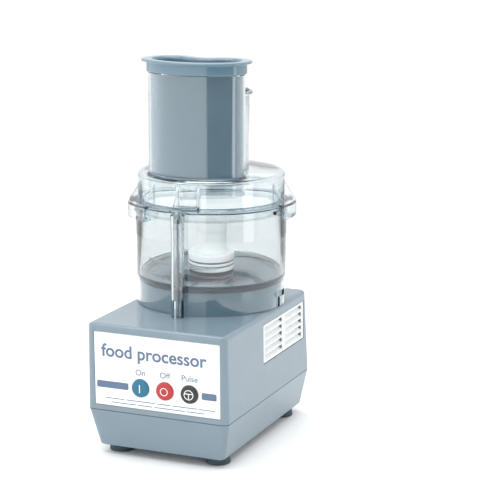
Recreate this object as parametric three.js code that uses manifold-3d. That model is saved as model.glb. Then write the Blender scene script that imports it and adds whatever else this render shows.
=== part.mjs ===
// A bench-top food processor: moulded motor base, clear bowl with an S-blade, clear lid with a
// kidney-shaped hopper and a small feed tube, and the two pushers. Millimetres, +Z up, -Y front.
// The origin is on the surface that the feet stand on, at the middle of the footprint.
import * as THREE from 'three';
import { mergeVertices } from 'three/addons/utils/BufferGeometryUtils.js';
import Module from 'manifold-3d';

const wasm = await Module();
wasm.setup();

// ---------------------------------------------------------------- driving dimensions
const GAP = 0.3; // between pieces that touch
const WALL = 3; // moulded casing
const ROUND = 30; // segments of a full turn on the large round pieces
const SMALL = 16; // and on the small ones

// Height of each level of the stack
const FOOT_H = 12;
const SPLIT_Z = 62; // joint between the base pan and the upper housing
const DECK_Z = 174; // flat top of the housing
const FLOOR_Z = 211; // inside floor of the bowl
const BOWL_TOP = 306;
const LID_TOP = 347;
const HOPPER_TOP = 478;
const PUSHER_TOP = 495;
const TUBE_TOP = 444;

// Casing outline at three heights: half width, front and rear
const AT_FOOT = { z: FOOT_H, w: 86, front: -135, rear: 136, r: 10 };
const AT_SPLIT = { z: SPLIT_Z, w: 96.3, front: -146, rear: 139, r: 8 };
const AT_DECK = { z: DECK_Z, w: 94.5, front: -149, rear: 128, r: 7 };
const EDGE_R = 5; // rounding of the deck's edge
const FEET = [[-67, -107], [67, -107], [-67, 108], [67, 108]];

// Bowl, on an axis of its own
const BOWL_Y = 25;
const BOWL_IN = 94.8;
const BOWL_OUT = 98.2;
const SKIRT_OUT = 97.4;
const FLOOR_WALL = 2.3;
const SEAT_R = 92.6; // seat that the bowl stands on
const SEAT_BORE = 12.5;
const SEAT_TOP = 204.8;
const SLOT_Z = 191; // middle of the bowl's bayonet slots
const PIN_ANGLES = [86.5, 266.5];
const CHIMNEY_IN = 8.5;
const CHIMNEY_OUT = 11;
const CHIMNEY_TOP = 236;

// Lid
const LID_R = 95.5;
const LID_WALL = 2.8;
const FLANGE_R = 106.5;
const FLANGE_Z = 308.4;
const TAB_R = 112;
const TAB_ANGLES = [-37, 90, 205]; // measured from the front, towards the right
const CAM_FROM = -3;
const CAM_TO = 15;

// Kidney-shaped hopper: an arc about the bowl's axis with a round at each end
const BEAN_RC = 59.4;
const BEAN_HALF = 38.4;
const HOPPER_R = 27.5;
const HOPPER_WALL = 2.5;

// Small feed tube
const TUBE_X = 12;
const TUBE_Y = 21;
const TUBE_R = 30;
const TUBE_WALL = 2.4;

// Rod that tells the base when the lid is locked
const ROD_R = 105.7; // distance from the bowl's axis
const ROD_TRAVEL = 4;
const SPRING_SEAT = 197;
const CHANNEL_R = 8.3; // moulded channel that the rod runs in
const SOCKET_R = 9;
const CHANNEL_BORE = 6;

// Blade
const HUB_R = 30.7;
const NECK_R = 26.5;
const COLUMN_R = 20.6;
const HUB_FOOT = 214.2; // underside of the hub, over its wear ring
const HUB_RING = 226.4; // upper ring of the hub, above the knives
const CAP_Z = 262;
const KNIFE_T = 1.6;
const KNIVES_Z = [219.6, 224.4];

// Controls on the front
const PANEL_TILT = Math.atan2(AT_SPLIT.front - AT_DECK.front, DECK_Z - SPLIT_Z);
const BUTTON_Z = 96.4;
const BUTTON_R = 11.5;
const BUTTONS = [
  { name: 'on', x: -21, colour: 0x0089a8 },
  { name: 'off', x: 12.4, colour: 0xd94a4a },
  { name: 'pulse', x: 45.9, colour: 0x34434c },
];
const LABEL = { x: 1, z: 116.25, w: 171.4, h: 94.9, t: 0.9, deep: 2 };
const BRACKET = { x: 12.4, w: 118, h: 34, t: 2, deep: 41.3 };
const GLAND = { x: -55, z: 38 };

// Vents
const VENT = { y: 46, z: 134.5, w: 142, h: 50, t: 6.5 };
const LOUVRE = { rows: 5, pitch: 9.2, h: 7.6, deep: 4.4, len: 60, end: 3 };

// Motor
const STATOR = { r: 55, bore: 31, z0: 74, z1: 132 };
const SHAFT_R = 6;
const SHAFT_TOP = 256;
const BELL_Z = 139.7; // underside of the motor's top bell
const BELL_T = 6;
const MOTOR_POSTS = [[-46, -46], [46, -46], [-46, 46], [46, 46]];
const PILOT_R = 2.3; // pilot holes of the screws

// ---------------------------------------------------------------- solids and placing
function toSolid(geometry) {
  const bare = geometry.clone();
  bare.deleteAttribute('normal');
  bare.deleteAttribute('uv');
  const merged = mergeVertices(bare, 1e-4);
  return new wasm.Manifold(
    new wasm.Mesh({
      numProp: 3,
      vertProperties: new Float32Array(merged.attributes.position.array),
      triVerts: new Uint32Array(merged.index.array),
    }),
  );
}

function toGeometry(solid) {
  const mesh = solid.getMesh();
  const geometry = new THREE.BufferGeometry();
  geometry.setAttribute('position', new THREE.BufferAttribute(mesh.vertProperties, 3));
  geometry.setIndex(new THREE.BufferAttribute(mesh.triVerts, 1));
  geometry.computeVertexNormals();
  return geometry;
}

function join(...geometries) {
  return toGeometry(geometries.map(toSolid).reduce((all, next) => all.add(next)));
}

function cut(body, ...tools) {
  return toGeometry(tools.map(toSolid).reduce((rest, tool) => rest.subtract(tool), toSolid(body)));
}

// Gives a geometry whose faces point inwards the right way round
function faceOut(geometry) {
  const p = geometry.attributes.position;
  const index = geometry.index.array;
  const [a, b, c] = [new THREE.Vector3(), new THREE.Vector3(), new THREE.Vector3()];
  let volume = 0;
  for (let i = 0; i < index.length; i += 3) {
    a.fromBufferAttribute(p, index[i]);
    b.fromBufferAttribute(p, index[i + 1]);
    c.fromBufferAttribute(p, index[i + 2]);
    volume += a.dot(b.cross(c));
  }
  if (volume < 0) {
    for (let i = 0; i < index.length; i += 3) {
      [index[i], index[i + 1]] = [index[i + 1], index[i]];
    }
  }
  return geometry;
}

// Turned about Z from [radius, height] points; the profile closes on itself or on the axis
function turned(points, segments = ROUND) {
  const profile = points.map(([r, z]) => new THREE.Vector2(r, z));
  if (points[0][0] > 0) {
    profile.push(profile[0].clone());
  }
  const geometry = new THREE.LatheGeometry(profile, segments).rotateX(Math.PI / 2);
  geometry.deleteAttribute('normal');
  geometry.deleteAttribute('uv');
  return faceOut(mergeVertices(geometry, 1e-4));
}

function box(w, d, h, x, y, z) {
  return new THREE.BoxGeometry(w, d, h).translate(x, y, z);
}

function rod(r, z0, z1, segments = SMALL) {
  return turned([[0, z0], [r, z0], [r, z1], [0, z1]], segments);
}

function ring(r0, r1, z0, z1, segments = ROUND) {
  return turned([[r0, z0], [r1, z0], [r1, z1], [r0, z1]], segments);
}

// Turned about an axis along Y, at height z, from [radius, distance back] points
function turnedAlongY(points, x, z, segments = SMALL) {
  return turned(points, segments).rotateX(-Math.PI / 2).translate(x, 0, z);
}

// The angles of the bowl, lid and base are counted from the front (-Y) towards the right (+X)
function polar(radius, degrees) {
  const a = THREE.MathUtils.degToRad(degrees);
  return [radius * Math.sin(a), -radius * Math.cos(a)];
}

function sector(r0, r1, from, to, z0, z1) {
  const start = THREE.MathUtils.degToRad(from - 90);
  const end = THREE.MathUtils.degToRad(to - 90);
  const shape = new THREE.Shape();
  shape.absarc(0, 0, r1, start, end, false);
  shape.absarc(0, 0, r0, end, start, true);
  shape.closePath();
  return prism(shape, z0, z1, 2);
}

function prism(shape, z0, z1, curveSegments = 12) {
  const options = { depth: z1 - z0, bevelEnabled: false, curveSegments };
  return new THREE.ExtrudeGeometry(shape, options).translate(0, 0, z0);
}

// One closed ring of points: a rounded rectangle at a height, pulled in by an inset
function outline({ z, w, front, rear, r }, inset, steps = 3) {
  const [x, y0, y1] = [w - inset, front + inset, rear - inset];
  const c = Math.max(r - inset, 1.5);
  const corners = [[x - c, y1 - c, 0], [c - x, y1 - c, 90], [c - x, y0 + c, 180], [x - c, y0 + c, 270]];
  const points = [];
  for (const [cx, cy, turn] of corners) {
    for (let i = 0; i <= steps; i += 1) {
      const a = THREE.MathUtils.degToRad(turn + (90 * i) / steps);
      points.push(new THREE.Vector3(cx + c * Math.cos(a), cy + c * Math.sin(a), z));
    }
  }
  return points;
}

// A solid through a stack of such rings, closed flat at both ends
function loft(rings) {
  const n = rings[0].length;
  const positions = rings.flat().flatMap((p) => [p.x, p.y, p.z]);
  const index = [];
  for (let k = 0; k + 1 < rings.length; k += 1) {
    for (let i = 0; i < n; i += 1) {
      const [a, b] = [k * n + i, k * n + ((i + 1) % n)];
      index.push(a, b, b + n, a, b + n, a + n);
    }
  }
  const top = (rings.length - 1) * n;
  for (let i = 1; i + 1 < n; i += 1) {
    index.push(0, i + 1, i, top, top + i, top + i + 1);
  }
  const geometry = new THREE.BufferGeometry();
  geometry.setAttribute('position', new THREE.Float32BufferAttribute(positions, 3));
  geometry.setIndex(index);
  return faceOut(geometry);
}

// The casing's outline at any height, between the three given ones
function casingAt(z) {
  const [low, high] = z < SPLIT_Z ? [AT_FOOT, AT_SPLIT] : [AT_SPLIT, AT_DECK];
  const t = (z - low.z) / (high.z - low.z);
  const mix = (key) => low[key] + t * (high[key] - low[key]);
  return { z, w: mix('w'), front: mix('front'), rear: mix('rear'), r: mix('r') };
}

// Lays a piece that was drawn on the plane y = 0, front towards -Y, on the sloping front face
function onFront(geometry, z, out = 0) {
  const y = casingAt(z).front - out;
  return geometry.translate(0, 0, -z).rotateX(PANEL_TILT).translate(0, y, z);
}

const parts = new THREE.Group();
parts.name = 'food_processor';
const stack = new THREE.Group(); // everything on the bowl's axis
stack.position.y = BOWL_Y;
parts.add(stack);

function add(group, name, geometry, colour, roughness = 0.45, metalness = 0) {
  const material = new THREE.MeshStandardMaterial({ color: colour, roughness, metalness });
  const mesh = new THREE.Mesh(geometry, material);
  mesh.name = name;
  group.add(mesh);
}

const HOUSING = 0x9cabb6;
const WHITE = 0xf1f3f2;
const CLEAR = 0xdfe6e8;
const STEEL = 0xb9bec2;
const RUBBER = 0x36474f;
const DARK = 0x2c3438;

// ---------------------------------------------------------------- base, outside
function upperHousing() {
  const edge = [0, 30, 60, 90].map((degrees) => {
    const a = THREE.MathUtils.degToRad(degrees);
    const z = DECK_Z - EDGE_R + EDGE_R * Math.sin(a);
    return outline(casingAt(z), EDGE_R * (1 - Math.cos(a)));
  });
  const skin = loft([outline(AT_SPLIT, 0), ...edge]);
  const inside = loft([outline(casingAt(SPLIT_Z - 1), WALL), outline(casingAt(DECK_Z - WALL), WALL)]);
  const post = rod(6, BELL_Z + BELL_T + GAP, DECK_Z - 1, 8);
  const pilot = rod(PILOT_R, BELL_Z, DECK_Z - 6, 8);
  const [posts, pilots] = [post, pilot].map((piece) =>
    MOTOR_POSTS.map(([x, y]) => piece.clone().translate(x, y + BOWL_Y, 0)),
  );
  const pocket = box(LABEL.w + 2 * GAP, 2 * LABEL.deep, LABEL.h + 2 * GAP, LABEL.x, 0, LABEL.z);
  const recess = onFront(pocket, LABEL.z);
  const holes = BUTTONS.map(({ x }) => onFront(buttonHole(x, 9), BUTTON_Z));
  const vents = [1, -1].map((side) =>
    box(40, VENT.w + 2 * GAP, VENT.h + 2 * GAP, AT_SPLIT.w * side, VENT.y, VENT.z),
  );
  const shaftHole = rod(12, DECK_Z - 10, DECK_Z + 10).translate(0, BOWL_Y, 0);
  const shell = cut(skin, inside, recess, ...holes, ...vents, shaftHole);
  return cut(join(shell, ...posts), ...pilots);
}

// A round hole through the panel, as deep to the front as to the back
function buttonHole(x, deep) {
  const r = BUTTON_R + GAP;
  return turnedAlongY([[0, -deep], [r, -deep], [r, deep], [0, deep]], x, BUTTON_Z);
}

function lowerBase() {
  const rim = outline(casingAt(SPLIT_Z - GAP), 0);
  const skin = loft([outline(AT_FOOT, 2), outline(casingAt(FOOT_H + 2), 0), rim]);
  const inside = loft([outline(casingAt(FOOT_H + WALL), WALL), outline(casingAt(SPLIT_Z - 0.01), WALL)]);
  const bosses = FEET.map(([x, y]) => rod(6, FOOT_H + 1, FOOT_H + 14, 8).translate(x, y, 0));
  const screws = FEET.map(([x, y]) => rod(PILOT_R, FOOT_H - 1, FOOT_H + 20, 8).translate(x, y, 0));
  const inlet = turnedAlongY([[0, 100], [7.4, 100], [7.4, 160], [0, 160]], GLAND.x, GLAND.z);
  const airSlots = [-3, -2, -1, 0, 1, 2, 3].map((i) => box(70, 5, 10, 0, BOWL_Y + 12 * i, FOOT_H + 1));
  return cut(join(cut(skin, inside), ...bosses), ...screws, inlet, ...airSlots);
}

function foot() {
  const profile = [[2.4, 4], [5, 4], [5, 0], [15.5, 0], [16, 1], [14.5, FOOT_H - GAP], [2.4, FOOT_H - GAP]];
  return turned(profile, SMALL);
}

function footScrew() {
  return turned([[0, 1.2], [4, 1.2], [4, 3.7], [2, 3.7], [2, 24], [0, 24]], 8);
}

function frontLabel() {
  const plate = box(LABEL.w, LABEL.t, LABEL.h, LABEL.x, 0, LABEL.z);
  const holes = BUTTONS.map(({ x }) => buttonHole(x, 3));
  const middle = LABEL.deep - GAP - LABEL.t / 2;
  return onFront(cut(plate, ...holes), LABEL.z, -middle);
}

// Grille plate drawn flat: x outwards, y along the side, z up
function ventGrille() {
  const plate = box(VENT.t, VENT.w, VENT.h, -VENT.t / 2, 0, 0);
  const tools = [];
  for (const column of [-1, 1]) {
    for (let row = 0; row < LOUVRE.rows; row += 1) {
      const z = (row - (LOUVRE.rows - 1) / 2) * LOUVRE.pitch;
      const y0 = column * 35 - LOUVRE.len / 2 - 1;
      const v = new THREE.Shape();
      v.moveTo(1, z + LOUVRE.h / 2 + 0.8);
      v.lineTo(-LOUVRE.deep, z);
      v.lineTo(1, z - LOUVRE.h / 2 - 0.8);
      v.closePath();
      const back = y0 + LOUVRE.len;
      tools.push(prism(v, 0, LOUVRE.len).rotateX(Math.PI / 2).scale(1, -1, 1).translate(0, y0, 0));
      tools.push(box(VENT.t, LOUVRE.end + 1, LOUVRE.h - 3, -0.9 - VENT.t / 2, back + LOUVRE.end / 2, z));
    }
  }
  return cut(plate, ...tools.map(mirroredOut));
}

// A mirrored piece has its faces turned in; this gives it an index and turns them out again
function mirroredOut(geometry) {
  geometry.deleteAttribute('normal');
  geometry.deleteAttribute('uv');
  return faceOut(mergeVertices(geometry, 1e-4));
}

function placedVent(side) {
  const face = casingAt(VENT.z);
  const tilt = Math.atan2(AT_SPLIT.w - AT_DECK.w, DECK_Z - SPLIT_Z);
  const plate = ventGrille().rotateY(-tilt).translate(face.w - 0.6, VENT.y, VENT.z);
  return side > 0 ? plate : mirroredOut(plate.scale(-1, 1, 1));
}

function button(x) {
  const dome = [[0, -3.2], [8, -3], [BUTTON_R - 0.8, -2.4], [BUTTON_R, -1.4]];
  const body = [[BUTTON_R, 3.4], [13.5, 3.4], [13.5, 5.4], [4, 5.4], [4, 14], [0, 14]];
  return onFront(turnedAlongY([...dome, ...body], x, BUTTON_Z), BUTTON_Z);
}

function buttonSwitch(x) {
  const body = box(22, 18, 24, x, 31, BUTTON_Z);
  const plunger = turnedAlongY([[0, 17], [3, 17], [3, 23], [0, 23]], x, BUTTON_Z, 12);
  const legs = [-6, 6].map((dx) => box(1.2, 8, 5, x + dx, 43, BUTTON_Z));
  return onFront(join(body, plunger, ...legs), BUTTON_Z);
}

function switchBracket() {
  const { x: middle, w, h, t, deep } = BRACKET;
  const plate = box(w, t, h, middle, deep, BUTTON_Z);
  const legs = [-1, 1].map((side) =>
    box(t, deep - WALL + 0.2, h, middle + (w / 2 - t / 2) * side, deep / 2 + 2.15, BUTTON_Z),
  );
  const slots = BUTTONS.map(({ x }) => box(18, 8, 12, x, deep, BUTTON_Z));
  return onFront(cut(join(plate, ...legs), ...slots), BUTTON_Z);
}

function cordGland() {
  const outer = casingAt(GLAND.z).rear;
  const inner = outer - WALL;
  const outside = [[4.2, inner - 6], [7, inner - 6], [7, outer + 1], [10.5, outer + 1]];
  return turnedAlongY([...outside, [8, outer + 9], [4.2, outer + 9]], GLAND.x, GLAND.z);
}

// ---------------------------------------------------------------- base, inside
function stator() {
  const core = ring(STATOR.bore, STATOR.r, STATOR.z0, STATOR.z1, 24);
  const slots = [0, 1, 2, 3, 4, 5, 6, 7].map((i) => {
    const [x, y] = polar(STATOR.bore + 8, 45 * i);
    return rod(5, STATOR.z0 - 1, STATOR.z1 + 1, 8).translate(x, y, 0);
  });
  return cut(core, ...slots);
}

function topBell() {
  const plate = box(116, 116, BELL_T, 0, 0, BELL_Z + BELL_T / 2);
  const seat = rod(20, BELL_Z, 156);
  const bore = rod(16 + GAP, BELL_Z + 3, 160);
  const through = rod(9, BELL_Z - 5, 160);
  const holes = MOTOR_POSTS.map(([x, y]) => rod(PILOT_R, BELL_Z - 1, BELL_Z + 8, 8).translate(x, y, 0));
  return cut(join(plate, seat), bore, through, ...holes);
}

function bottomBell() {
  const dish = [[20, 48], [58, 64], [58, STATOR.z1 + 4], [55.5, STATOR.z1 + 4], [55.5, 66], [22, 53]];
  const cup = [[22, 66], [16.3, 66], [16.3, 53], [9, 53], [9, 48]];
  return turned([...dish, ...cup], 24);
}

function bearing(z) {
  return ring(SHAFT_R + GAP, 16, z, z + 10, 24);
}

function motorScrew([x, y]) {
  const head = [[0, BELL_Z - 4], [4, BELL_Z - 4], [4, BELL_Z - GAP], [2, BELL_Z - GAP]];
  return turned([...head, [2, 160], [0, 160]], 8).translate(x, y, 0);
}

function motorShaft() {
  const bar = [[0, 44], [SHAFT_R, 44], [SHAFT_R, SHAFT_TOP - 6], [4.5, SHAFT_TOP], [0, SHAFT_TOP]];
  const flat = box(20, 20, 24, 14.6, 0, SHAFT_TOP - 8);
  return cut(turned(bar, 24), flat);
}

function coolingFan() {
  const hub = ring(SHAFT_R + GAP, 12, 133, 138.5, 24);
  const blades = [0, 1, 2, 3, 4, 5].map((i) =>
    box(30, 1.6, 5, 25, 0, 136).rotateZ((Math.PI / 3) * i),
  );
  return join(hub, ...blades);
}

function capacitor() {
  return turnedAlongY([[0, -60], [17, -60], [17, -8], [12, -8], [12, -6], [0, -6]], -72, 44);
}

function controlBoard() {
  const board = box(52, 76, 1.6, 54, -60, 34);
  const relay = box(18, 24, 16, 42, -74, 42);
  const choke = box(20, 20, 14, 64, -48, 41);
  return join(board, relay, choke);
}

// ---------------------------------------------------------------- top of the base
function bowlSeat() {
  const foot = [[SEAT_BORE, DECK_Z + GAP], [SEAT_R, DECK_Z + GAP]];
  const rim = [[SEAT_R, SEAT_TOP - 2], [SEAT_R - 2, SEAT_TOP], [SEAT_BORE, SEAT_TOP]];
  const pinHoles = PIN_ANGLES.map((angle) => radialRod(3.7, 70, 100, angle));
  return cut(turned([...foot, ...rim]), ...pinHoles);
}

function radialRod(r, from, to, angle) {
  const [x, y] = polar(1, angle);
  const turn = Math.atan2(y, x);
  return rod(r, from, to, 16).rotateY(Math.PI / 2).rotateZ(turn).translate(0, 0, SLOT_Z);
}

function shaftSeal() {
  return ring(SHAFT_R + GAP, 12 - GAP, DECK_Z - WALL, DECK_Z + 6, 24);
}

function bowlGasket() {
  return ring(86, SEAT_R + 0.6, SEAT_TOP + GAP, FLOOR_Z - FLOOR_WALL - GAP);
}

// ---------------------------------------------------------------- bowl and blade
function bowl() {
  const foot = DECK_Z + GAP;
  const under = FLOOR_Z - FLOOR_WALL;
  const outside = [[SKIRT_OUT, foot], [BOWL_OUT, BOWL_TOP - 10], [BOWL_OUT, BOWL_TOP - 1]];
  const lip = [[BOWL_OUT - 1, BOWL_TOP], [BOWL_IN + 0.6, BOWL_TOP], [BOWL_IN, BOWL_TOP - 1]];
  const inside = [[BOWL_IN, FLOOR_Z + 2.5], [BOWL_IN - 2.5, FLOOR_Z], [CHIMNEY_OUT, FLOOR_Z]];
  const chimney = [[CHIMNEY_OUT, CHIMNEY_TOP], [CHIMNEY_IN, CHIMNEY_TOP], [CHIMNEY_IN, under]];
  const below = [[BOWL_IN - 1.2, under], [BOWL_IN, under - 1.2], [BOWL_IN, foot]];
  const body = turned([...outside, ...lip, ...inside, ...chimney, ...below], 36);
  const ramps = TAB_ANGLES.map((c) => sector(BOWL_OUT - 2, 103, c - 13, c - 2, 298.6, 303));
  const channel = rod(CHANNEL_R, foot, BOWL_TOP - 17.5).translate(0, -ROD_R, 0);
  const socket = rod(SOCKET_R, BOWL_TOP - 18, BOWL_TOP).translate(0, -ROD_R, 0);
  const web = box(8, 5, BOWL_TOP - foot, 0, -ROD_R + 7.4, (BOWL_TOP + foot) / 2);
  const bores = join(
    rod(CHANNEL_BORE, SPRING_SEAT, BOWL_TOP + 5).translate(0, -ROD_R, 0),
    rod(3, DECK_Z - 5, SPRING_SEAT + 1, 12).translate(0, -ROD_R, 0),
  );
  const slots = PIN_ANGLES.flatMap((angle) => [
    sector(BOWL_IN - 3, SKIRT_OUT + 4, angle - 2.6, angle + 13.5, SLOT_Z - 4, SLOT_Z + 4),
    sector(BOWL_IN - 3, SKIRT_OUT + 4, angle - 2.6, angle + 2.6, DECK_Z - 2, SLOT_Z),
  ]);
  return cut(join(body, ...ramps, channel, socket, web), bores, ...slots);
}

function safetyRod() {
  const tip = 179;
  const disc = SPRING_SEAT + 13.6;
  const lower = [[0, tip], [2.6, tip], [2.6, tip + 8], [1.4, tip + 8], [1.4, disc], [5.5, disc]];
  const upper = [[5.5, disc + 2.5], [1.4, disc + 2.5], [1.4, 296], [5.4, 296], [5.4, 302], [3, 303]];
  const head = [[3, 308.6], [2.6, 310.1], [1.5, 311.2], [0, 311.6]];
  return turned([...lower, ...upper, ...head], 12).translate(0, -ROD_R, 0);
}

class Helix extends THREE.Curve {
  constructor(radius, z0, z1, turns) {
    super();
    Object.assign(this, { radius, z0, z1, turns });
  }

  getPoint(t, target = new THREE.Vector3()) {
    const a = 2 * Math.PI * this.turns * t;
    const z = this.z0 + (this.z1 - this.z0) * t;
    return target.set(this.radius * Math.cos(a), this.radius * Math.sin(a), z);
  }
}

function rodSpring() {
  const wire = 0.5;
  const section = new THREE.Shape();
  section.absarc(0, 0, wire, 0, 2 * Math.PI, false);
  const path = new Helix(3.9, SPRING_SEAT + wire + 0.4, SPRING_SEAT + 12.7, 5);
  const options = { steps: 40, bevelEnabled: false, extrudePath: path, curveSegments: 2 };
  return new THREE.ExtrudeGeometry(section, options).translate(0, -ROD_R, 0);
}

function bladeHub() {
  const bore = CHIMNEY_OUT + 0.8;
  const [low, high] = KNIVES_Z;
  const bottom = [[bore, HUB_FOOT], [HUB_R, HUB_FOOT], [HUB_R, low - 0.4], [NECK_R, low - 0.4]];
  const spacer = [[NECK_R, low + 1.9], [HUB_R, low + 1.9], [HUB_R, high - GAP], [NECK_R, high - GAP]];
  const top = HUB_RING + 8.6;
  const upper = [[NECK_R, HUB_RING], [HUB_R, HUB_RING], [HUB_R, top - 0.8], [HUB_R - 0.8, top]];
  const column = [[COLUMN_R + 0.4, top], [COLUMN_R, top + 1], [COLUMN_R, CAP_Z - GAP], [bore, CAP_Z - GAP]];
  return turned([...bottom, ...spacer, ...upper, ...column], 24);
}

function bladeCap() {
  const side = [[0, CAP_Z], [COLUMN_R, CAP_Z], [COLUMN_R, CAP_Z + 10], [COLUMN_R - 0.8, CAP_Z + 12]];
  const sunk = [[COLUMN_R - 2, CAP_Z + 12], [COLUMN_R - 3, CAP_Z + 11], [0, CAP_Z + 11]];
  return turned([...side, ...sunk], 24);
}

function wearRing() {
  return ring(CHIMNEY_OUT + 2, HUB_R - 0.9, FLOOR_Z + 0.5, HUB_FOOT - GAP, 24);
}

function bladeSleeve() {
  return ring(SHAFT_R + GAP, CHIMNEY_OUT + 0.4, 240, 261, 24);
}

// A crescent knife with its clamping ring: the cutting edge bows outwards, the tip trails
function knife(z, turn) {
  const hubRing = ring(NECK_R + GAP, HUB_R - 0.6, z, z + KNIFE_T, 24);
  const horn = new THREE.Shape();
  horn.moveTo(27.5, 6);
  horn.bezierCurveTo(34, -44, -30, -62, -88, -14);
  horn.bezierCurveTo(-48, -34, -24, -30, -27.5, -6);
  horn.bezierCurveTo(-20, -40, 24, -30, 27.5, 6);
  const crescent = cut(prism(horn, z, z + KNIFE_T, 5), rod(NECK_R + GAP, z - 1, z + 3, 24));
  return join(hubRing, crescent).rotateZ(turn);
}

// ---------------------------------------------------------------- lid and pushers
function bean(r, z0, z1) {
  const half = THREE.MathUtils.degToRad(BEAN_HALF);
  const [a0, a1] = [-Math.PI / 2 - half, -Math.PI / 2 + half];
  const [x1, y1] = polar(BEAN_RC, BEAN_HALF);
  const shape = new THREE.Shape();
  shape.absarc(0, 0, BEAN_RC + r, a0, a1, false);
  shape.absarc(x1, y1, r, a1, a1 + Math.PI, false);
  shape.absarc(0, 0, BEAN_RC - r, a1, a0, true);
  shape.absarc(-x1, y1, r, a0 + Math.PI, a0 + 2 * Math.PI, false);
  return prism(shape, z0, z1, 6);
}

function lidSeal() {
  return ring(BOWL_OUT - 3.4, BOWL_OUT + 0.8, BOWL_TOP + GAP, FLANGE_Z - GAP, 36);
}

// Triangular rib from the lid's wall out to a radius
function gusset(angle, reach) {
  const side = new THREE.Shape();
  side.moveTo(LID_R - 1, FLANGE_Z + 1);
  side.lineTo(reach, FLANGE_Z + 1);
  side.lineTo(reach, FLANGE_Z + 3);
  side.lineTo(LID_R - 1, LID_TOP - 8);
  side.closePath();
  const rib = prism(side, -1, 1).rotateX(Math.PI / 2);
  return rib.rotateZ(THREE.MathUtils.degToRad(angle - 90));
}

function lid() {
  const inner = LID_R - LID_WALL;
  const roof = [[0, LID_TOP - 3.2], [inner - 3, LID_TOP - 3.2], [inner, LID_TOP - 6.2]];
  const skirt = [[inner, 312], [89.6, 309], [89.6, 294], [92, 294], [92, FLANGE_Z]];
  const flange = [[FLANGE_R, FLANGE_Z], [FLANGE_R, FLANGE_Z + 2.6], [LID_R, FLANGE_Z + 2.6]];
  const shoulder = [0, 30, 60, 90].map((degrees) => {
    const a = THREE.MathUtils.degToRad(degrees);
    return [LID_R - EDGE_R * (1 - Math.cos(a)), LID_TOP - EDGE_R * (1 - Math.sin(a))];
  });
  const dome = turned([...roof, ...skirt, ...flange, ...shoulder, [0, LID_TOP]], 36);
  const tabs = TAB_ANGLES.flatMap((c) => [
    sector(FLANGE_R - 4, TAB_R, c - 11.5, c + 11.5, FLANGE_Z, FLANGE_Z + 3),
    sector(TAB_R - 3, TAB_R, c - 11.5, c + 11.5, 292, FLANGE_Z + 1),
    sector(100.5, TAB_R - 1, c + 0.5, c + 11, 292, 296.8),
    gusset(c - 11, TAB_R),
    gusset(c + 11, TAB_R),
  ]);
  const cam = sector(LID_R - 1, TAB_R + 1.5, CAM_FROM, CAM_TO, FLANGE_Z, 316);
  const camRibs = [gusset(CAM_FROM + 1, TAB_R + 1), gusset(CAM_TO - 1, TAB_R + 1)];
  const hopper = bean(HOPPER_R, LID_TOP - 22, HOPPER_TOP);
  const tube = rod(TUBE_R, LID_TOP - 14, TUBE_TOP, 24).translate(TUBE_X, TUBE_Y, 0);
  const solid = join(dome, ...tabs, cam, ...camRibs, hopper, tube);
  const hopperBore = bean(HOPPER_R - HOPPER_WALL, LID_TOP - 30, HOPPER_TOP + 5);
  const tubeBore = rod(TUBE_R - TUBE_WALL, LID_TOP - 30, TUBE_TOP + 5, 24).translate(TUBE_X, TUBE_Y, 0);
  return cut(solid, hopperBore, tubeBore, camRelief());
}

// Slot under the cam: level over the rod's head at rest, then sloping down to press it
function camRelief() {
  const across = (degrees) => THREE.MathUtils.degToRad(degrees) * ROD_R;
  const slope = new THREE.Shape();
  slope.moveTo(across(-6), FLANGE_Z - 2);
  slope.lineTo(across(12.4), FLANGE_Z - 2);
  slope.lineTo(across(12.4), 308);
  slope.lineTo(0, 308 + ROD_TRAVEL + 0.1);
  slope.lineTo(across(-6), 308 + ROD_TRAVEL + 0.1);
  slope.closePath();
  const tool = prism(slope, -6.5, 6.5).rotateX(Math.PI / 2);
  return tool.translate(0, -ROD_R, 0);
}

function largePusher() {
  const inHopper = HOPPER_R - HOPPER_WALL - 0.5;
  const plunger = bean(inHopper, LID_TOP - 2, HOPPER_TOP + 1);
  const collar = bean(HOPPER_R + 2.5, HOPPER_TOP + GAP, PUSHER_TOP - 2);
  const lip = bean(HOPPER_R + 9, PUSHER_TOP - 3.5, PUSHER_TOP);
  return cut(join(plunger, collar, lip), bean(inHopper - 2.4, LID_TOP + 2, PUSHER_TOP + 5));
}

function smallPusher() {
  const bore = TUBE_R - TUBE_WALL;
  const cup = [[0, LID_TOP - 12], [bore - 0.6, LID_TOP - 12]];
  const step = [[bore - 0.6, TUBE_TOP + GAP], [33, TUBE_TOP + GAP]];
  const rim = [[34.3, TUBE_TOP + 2], [34.3, TUBE_TOP + 3.5], [31, TUBE_TOP + 7], [27, TUBE_TOP + 8]];
  const inside = [[bore - 3, TUBE_TOP + 6], [bore - 3, LID_TOP - 9], [0, LID_TOP - 9]];
  return turned([...cup, ...step, ...rim, ...inside], 24).translate(TUBE_X, TUBE_Y, 0);
}

// ---------------------------------------------------------------- assembly
add(parts, 'upper_housing', upperHousing(), HOUSING, 0.35);
add(parts, 'lower_base', lowerBase(), HOUSING, 0.4);
add(parts, 'front_label', frontLabel(), WHITE, 0.4);
add(parts, 'vent_grille_right', placedVent(1), 0xe6e8e8, 0.5);
add(parts, 'vent_grille_left', placedVent(-1), 0xe6e8e8, 0.5);
add(parts, 'cord_gland', cordGland(), DARK, 0.6);
FEET.forEach(([x, y], i) => {
  const place = ['front_left', 'front_right', 'rear_left', 'rear_right'][i];
  add(parts, `foot_${place}`, foot().translate(x, y, 0), RUBBER, 0.8);
  add(parts, `foot_screw_${place}`, footScrew().translate(x, y, 0), STEEL, 0.35, 1);
});
for (const { name, x, colour } of BUTTONS) {
  add(parts, `${name}_button`, button(x), colour, 0.35);
  add(parts, `${name}_switch`, buttonSwitch(x), DARK, 0.5);
}
add(parts, 'switch_bracket', switchBracket(), STEEL, 0.4, 1);
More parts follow.
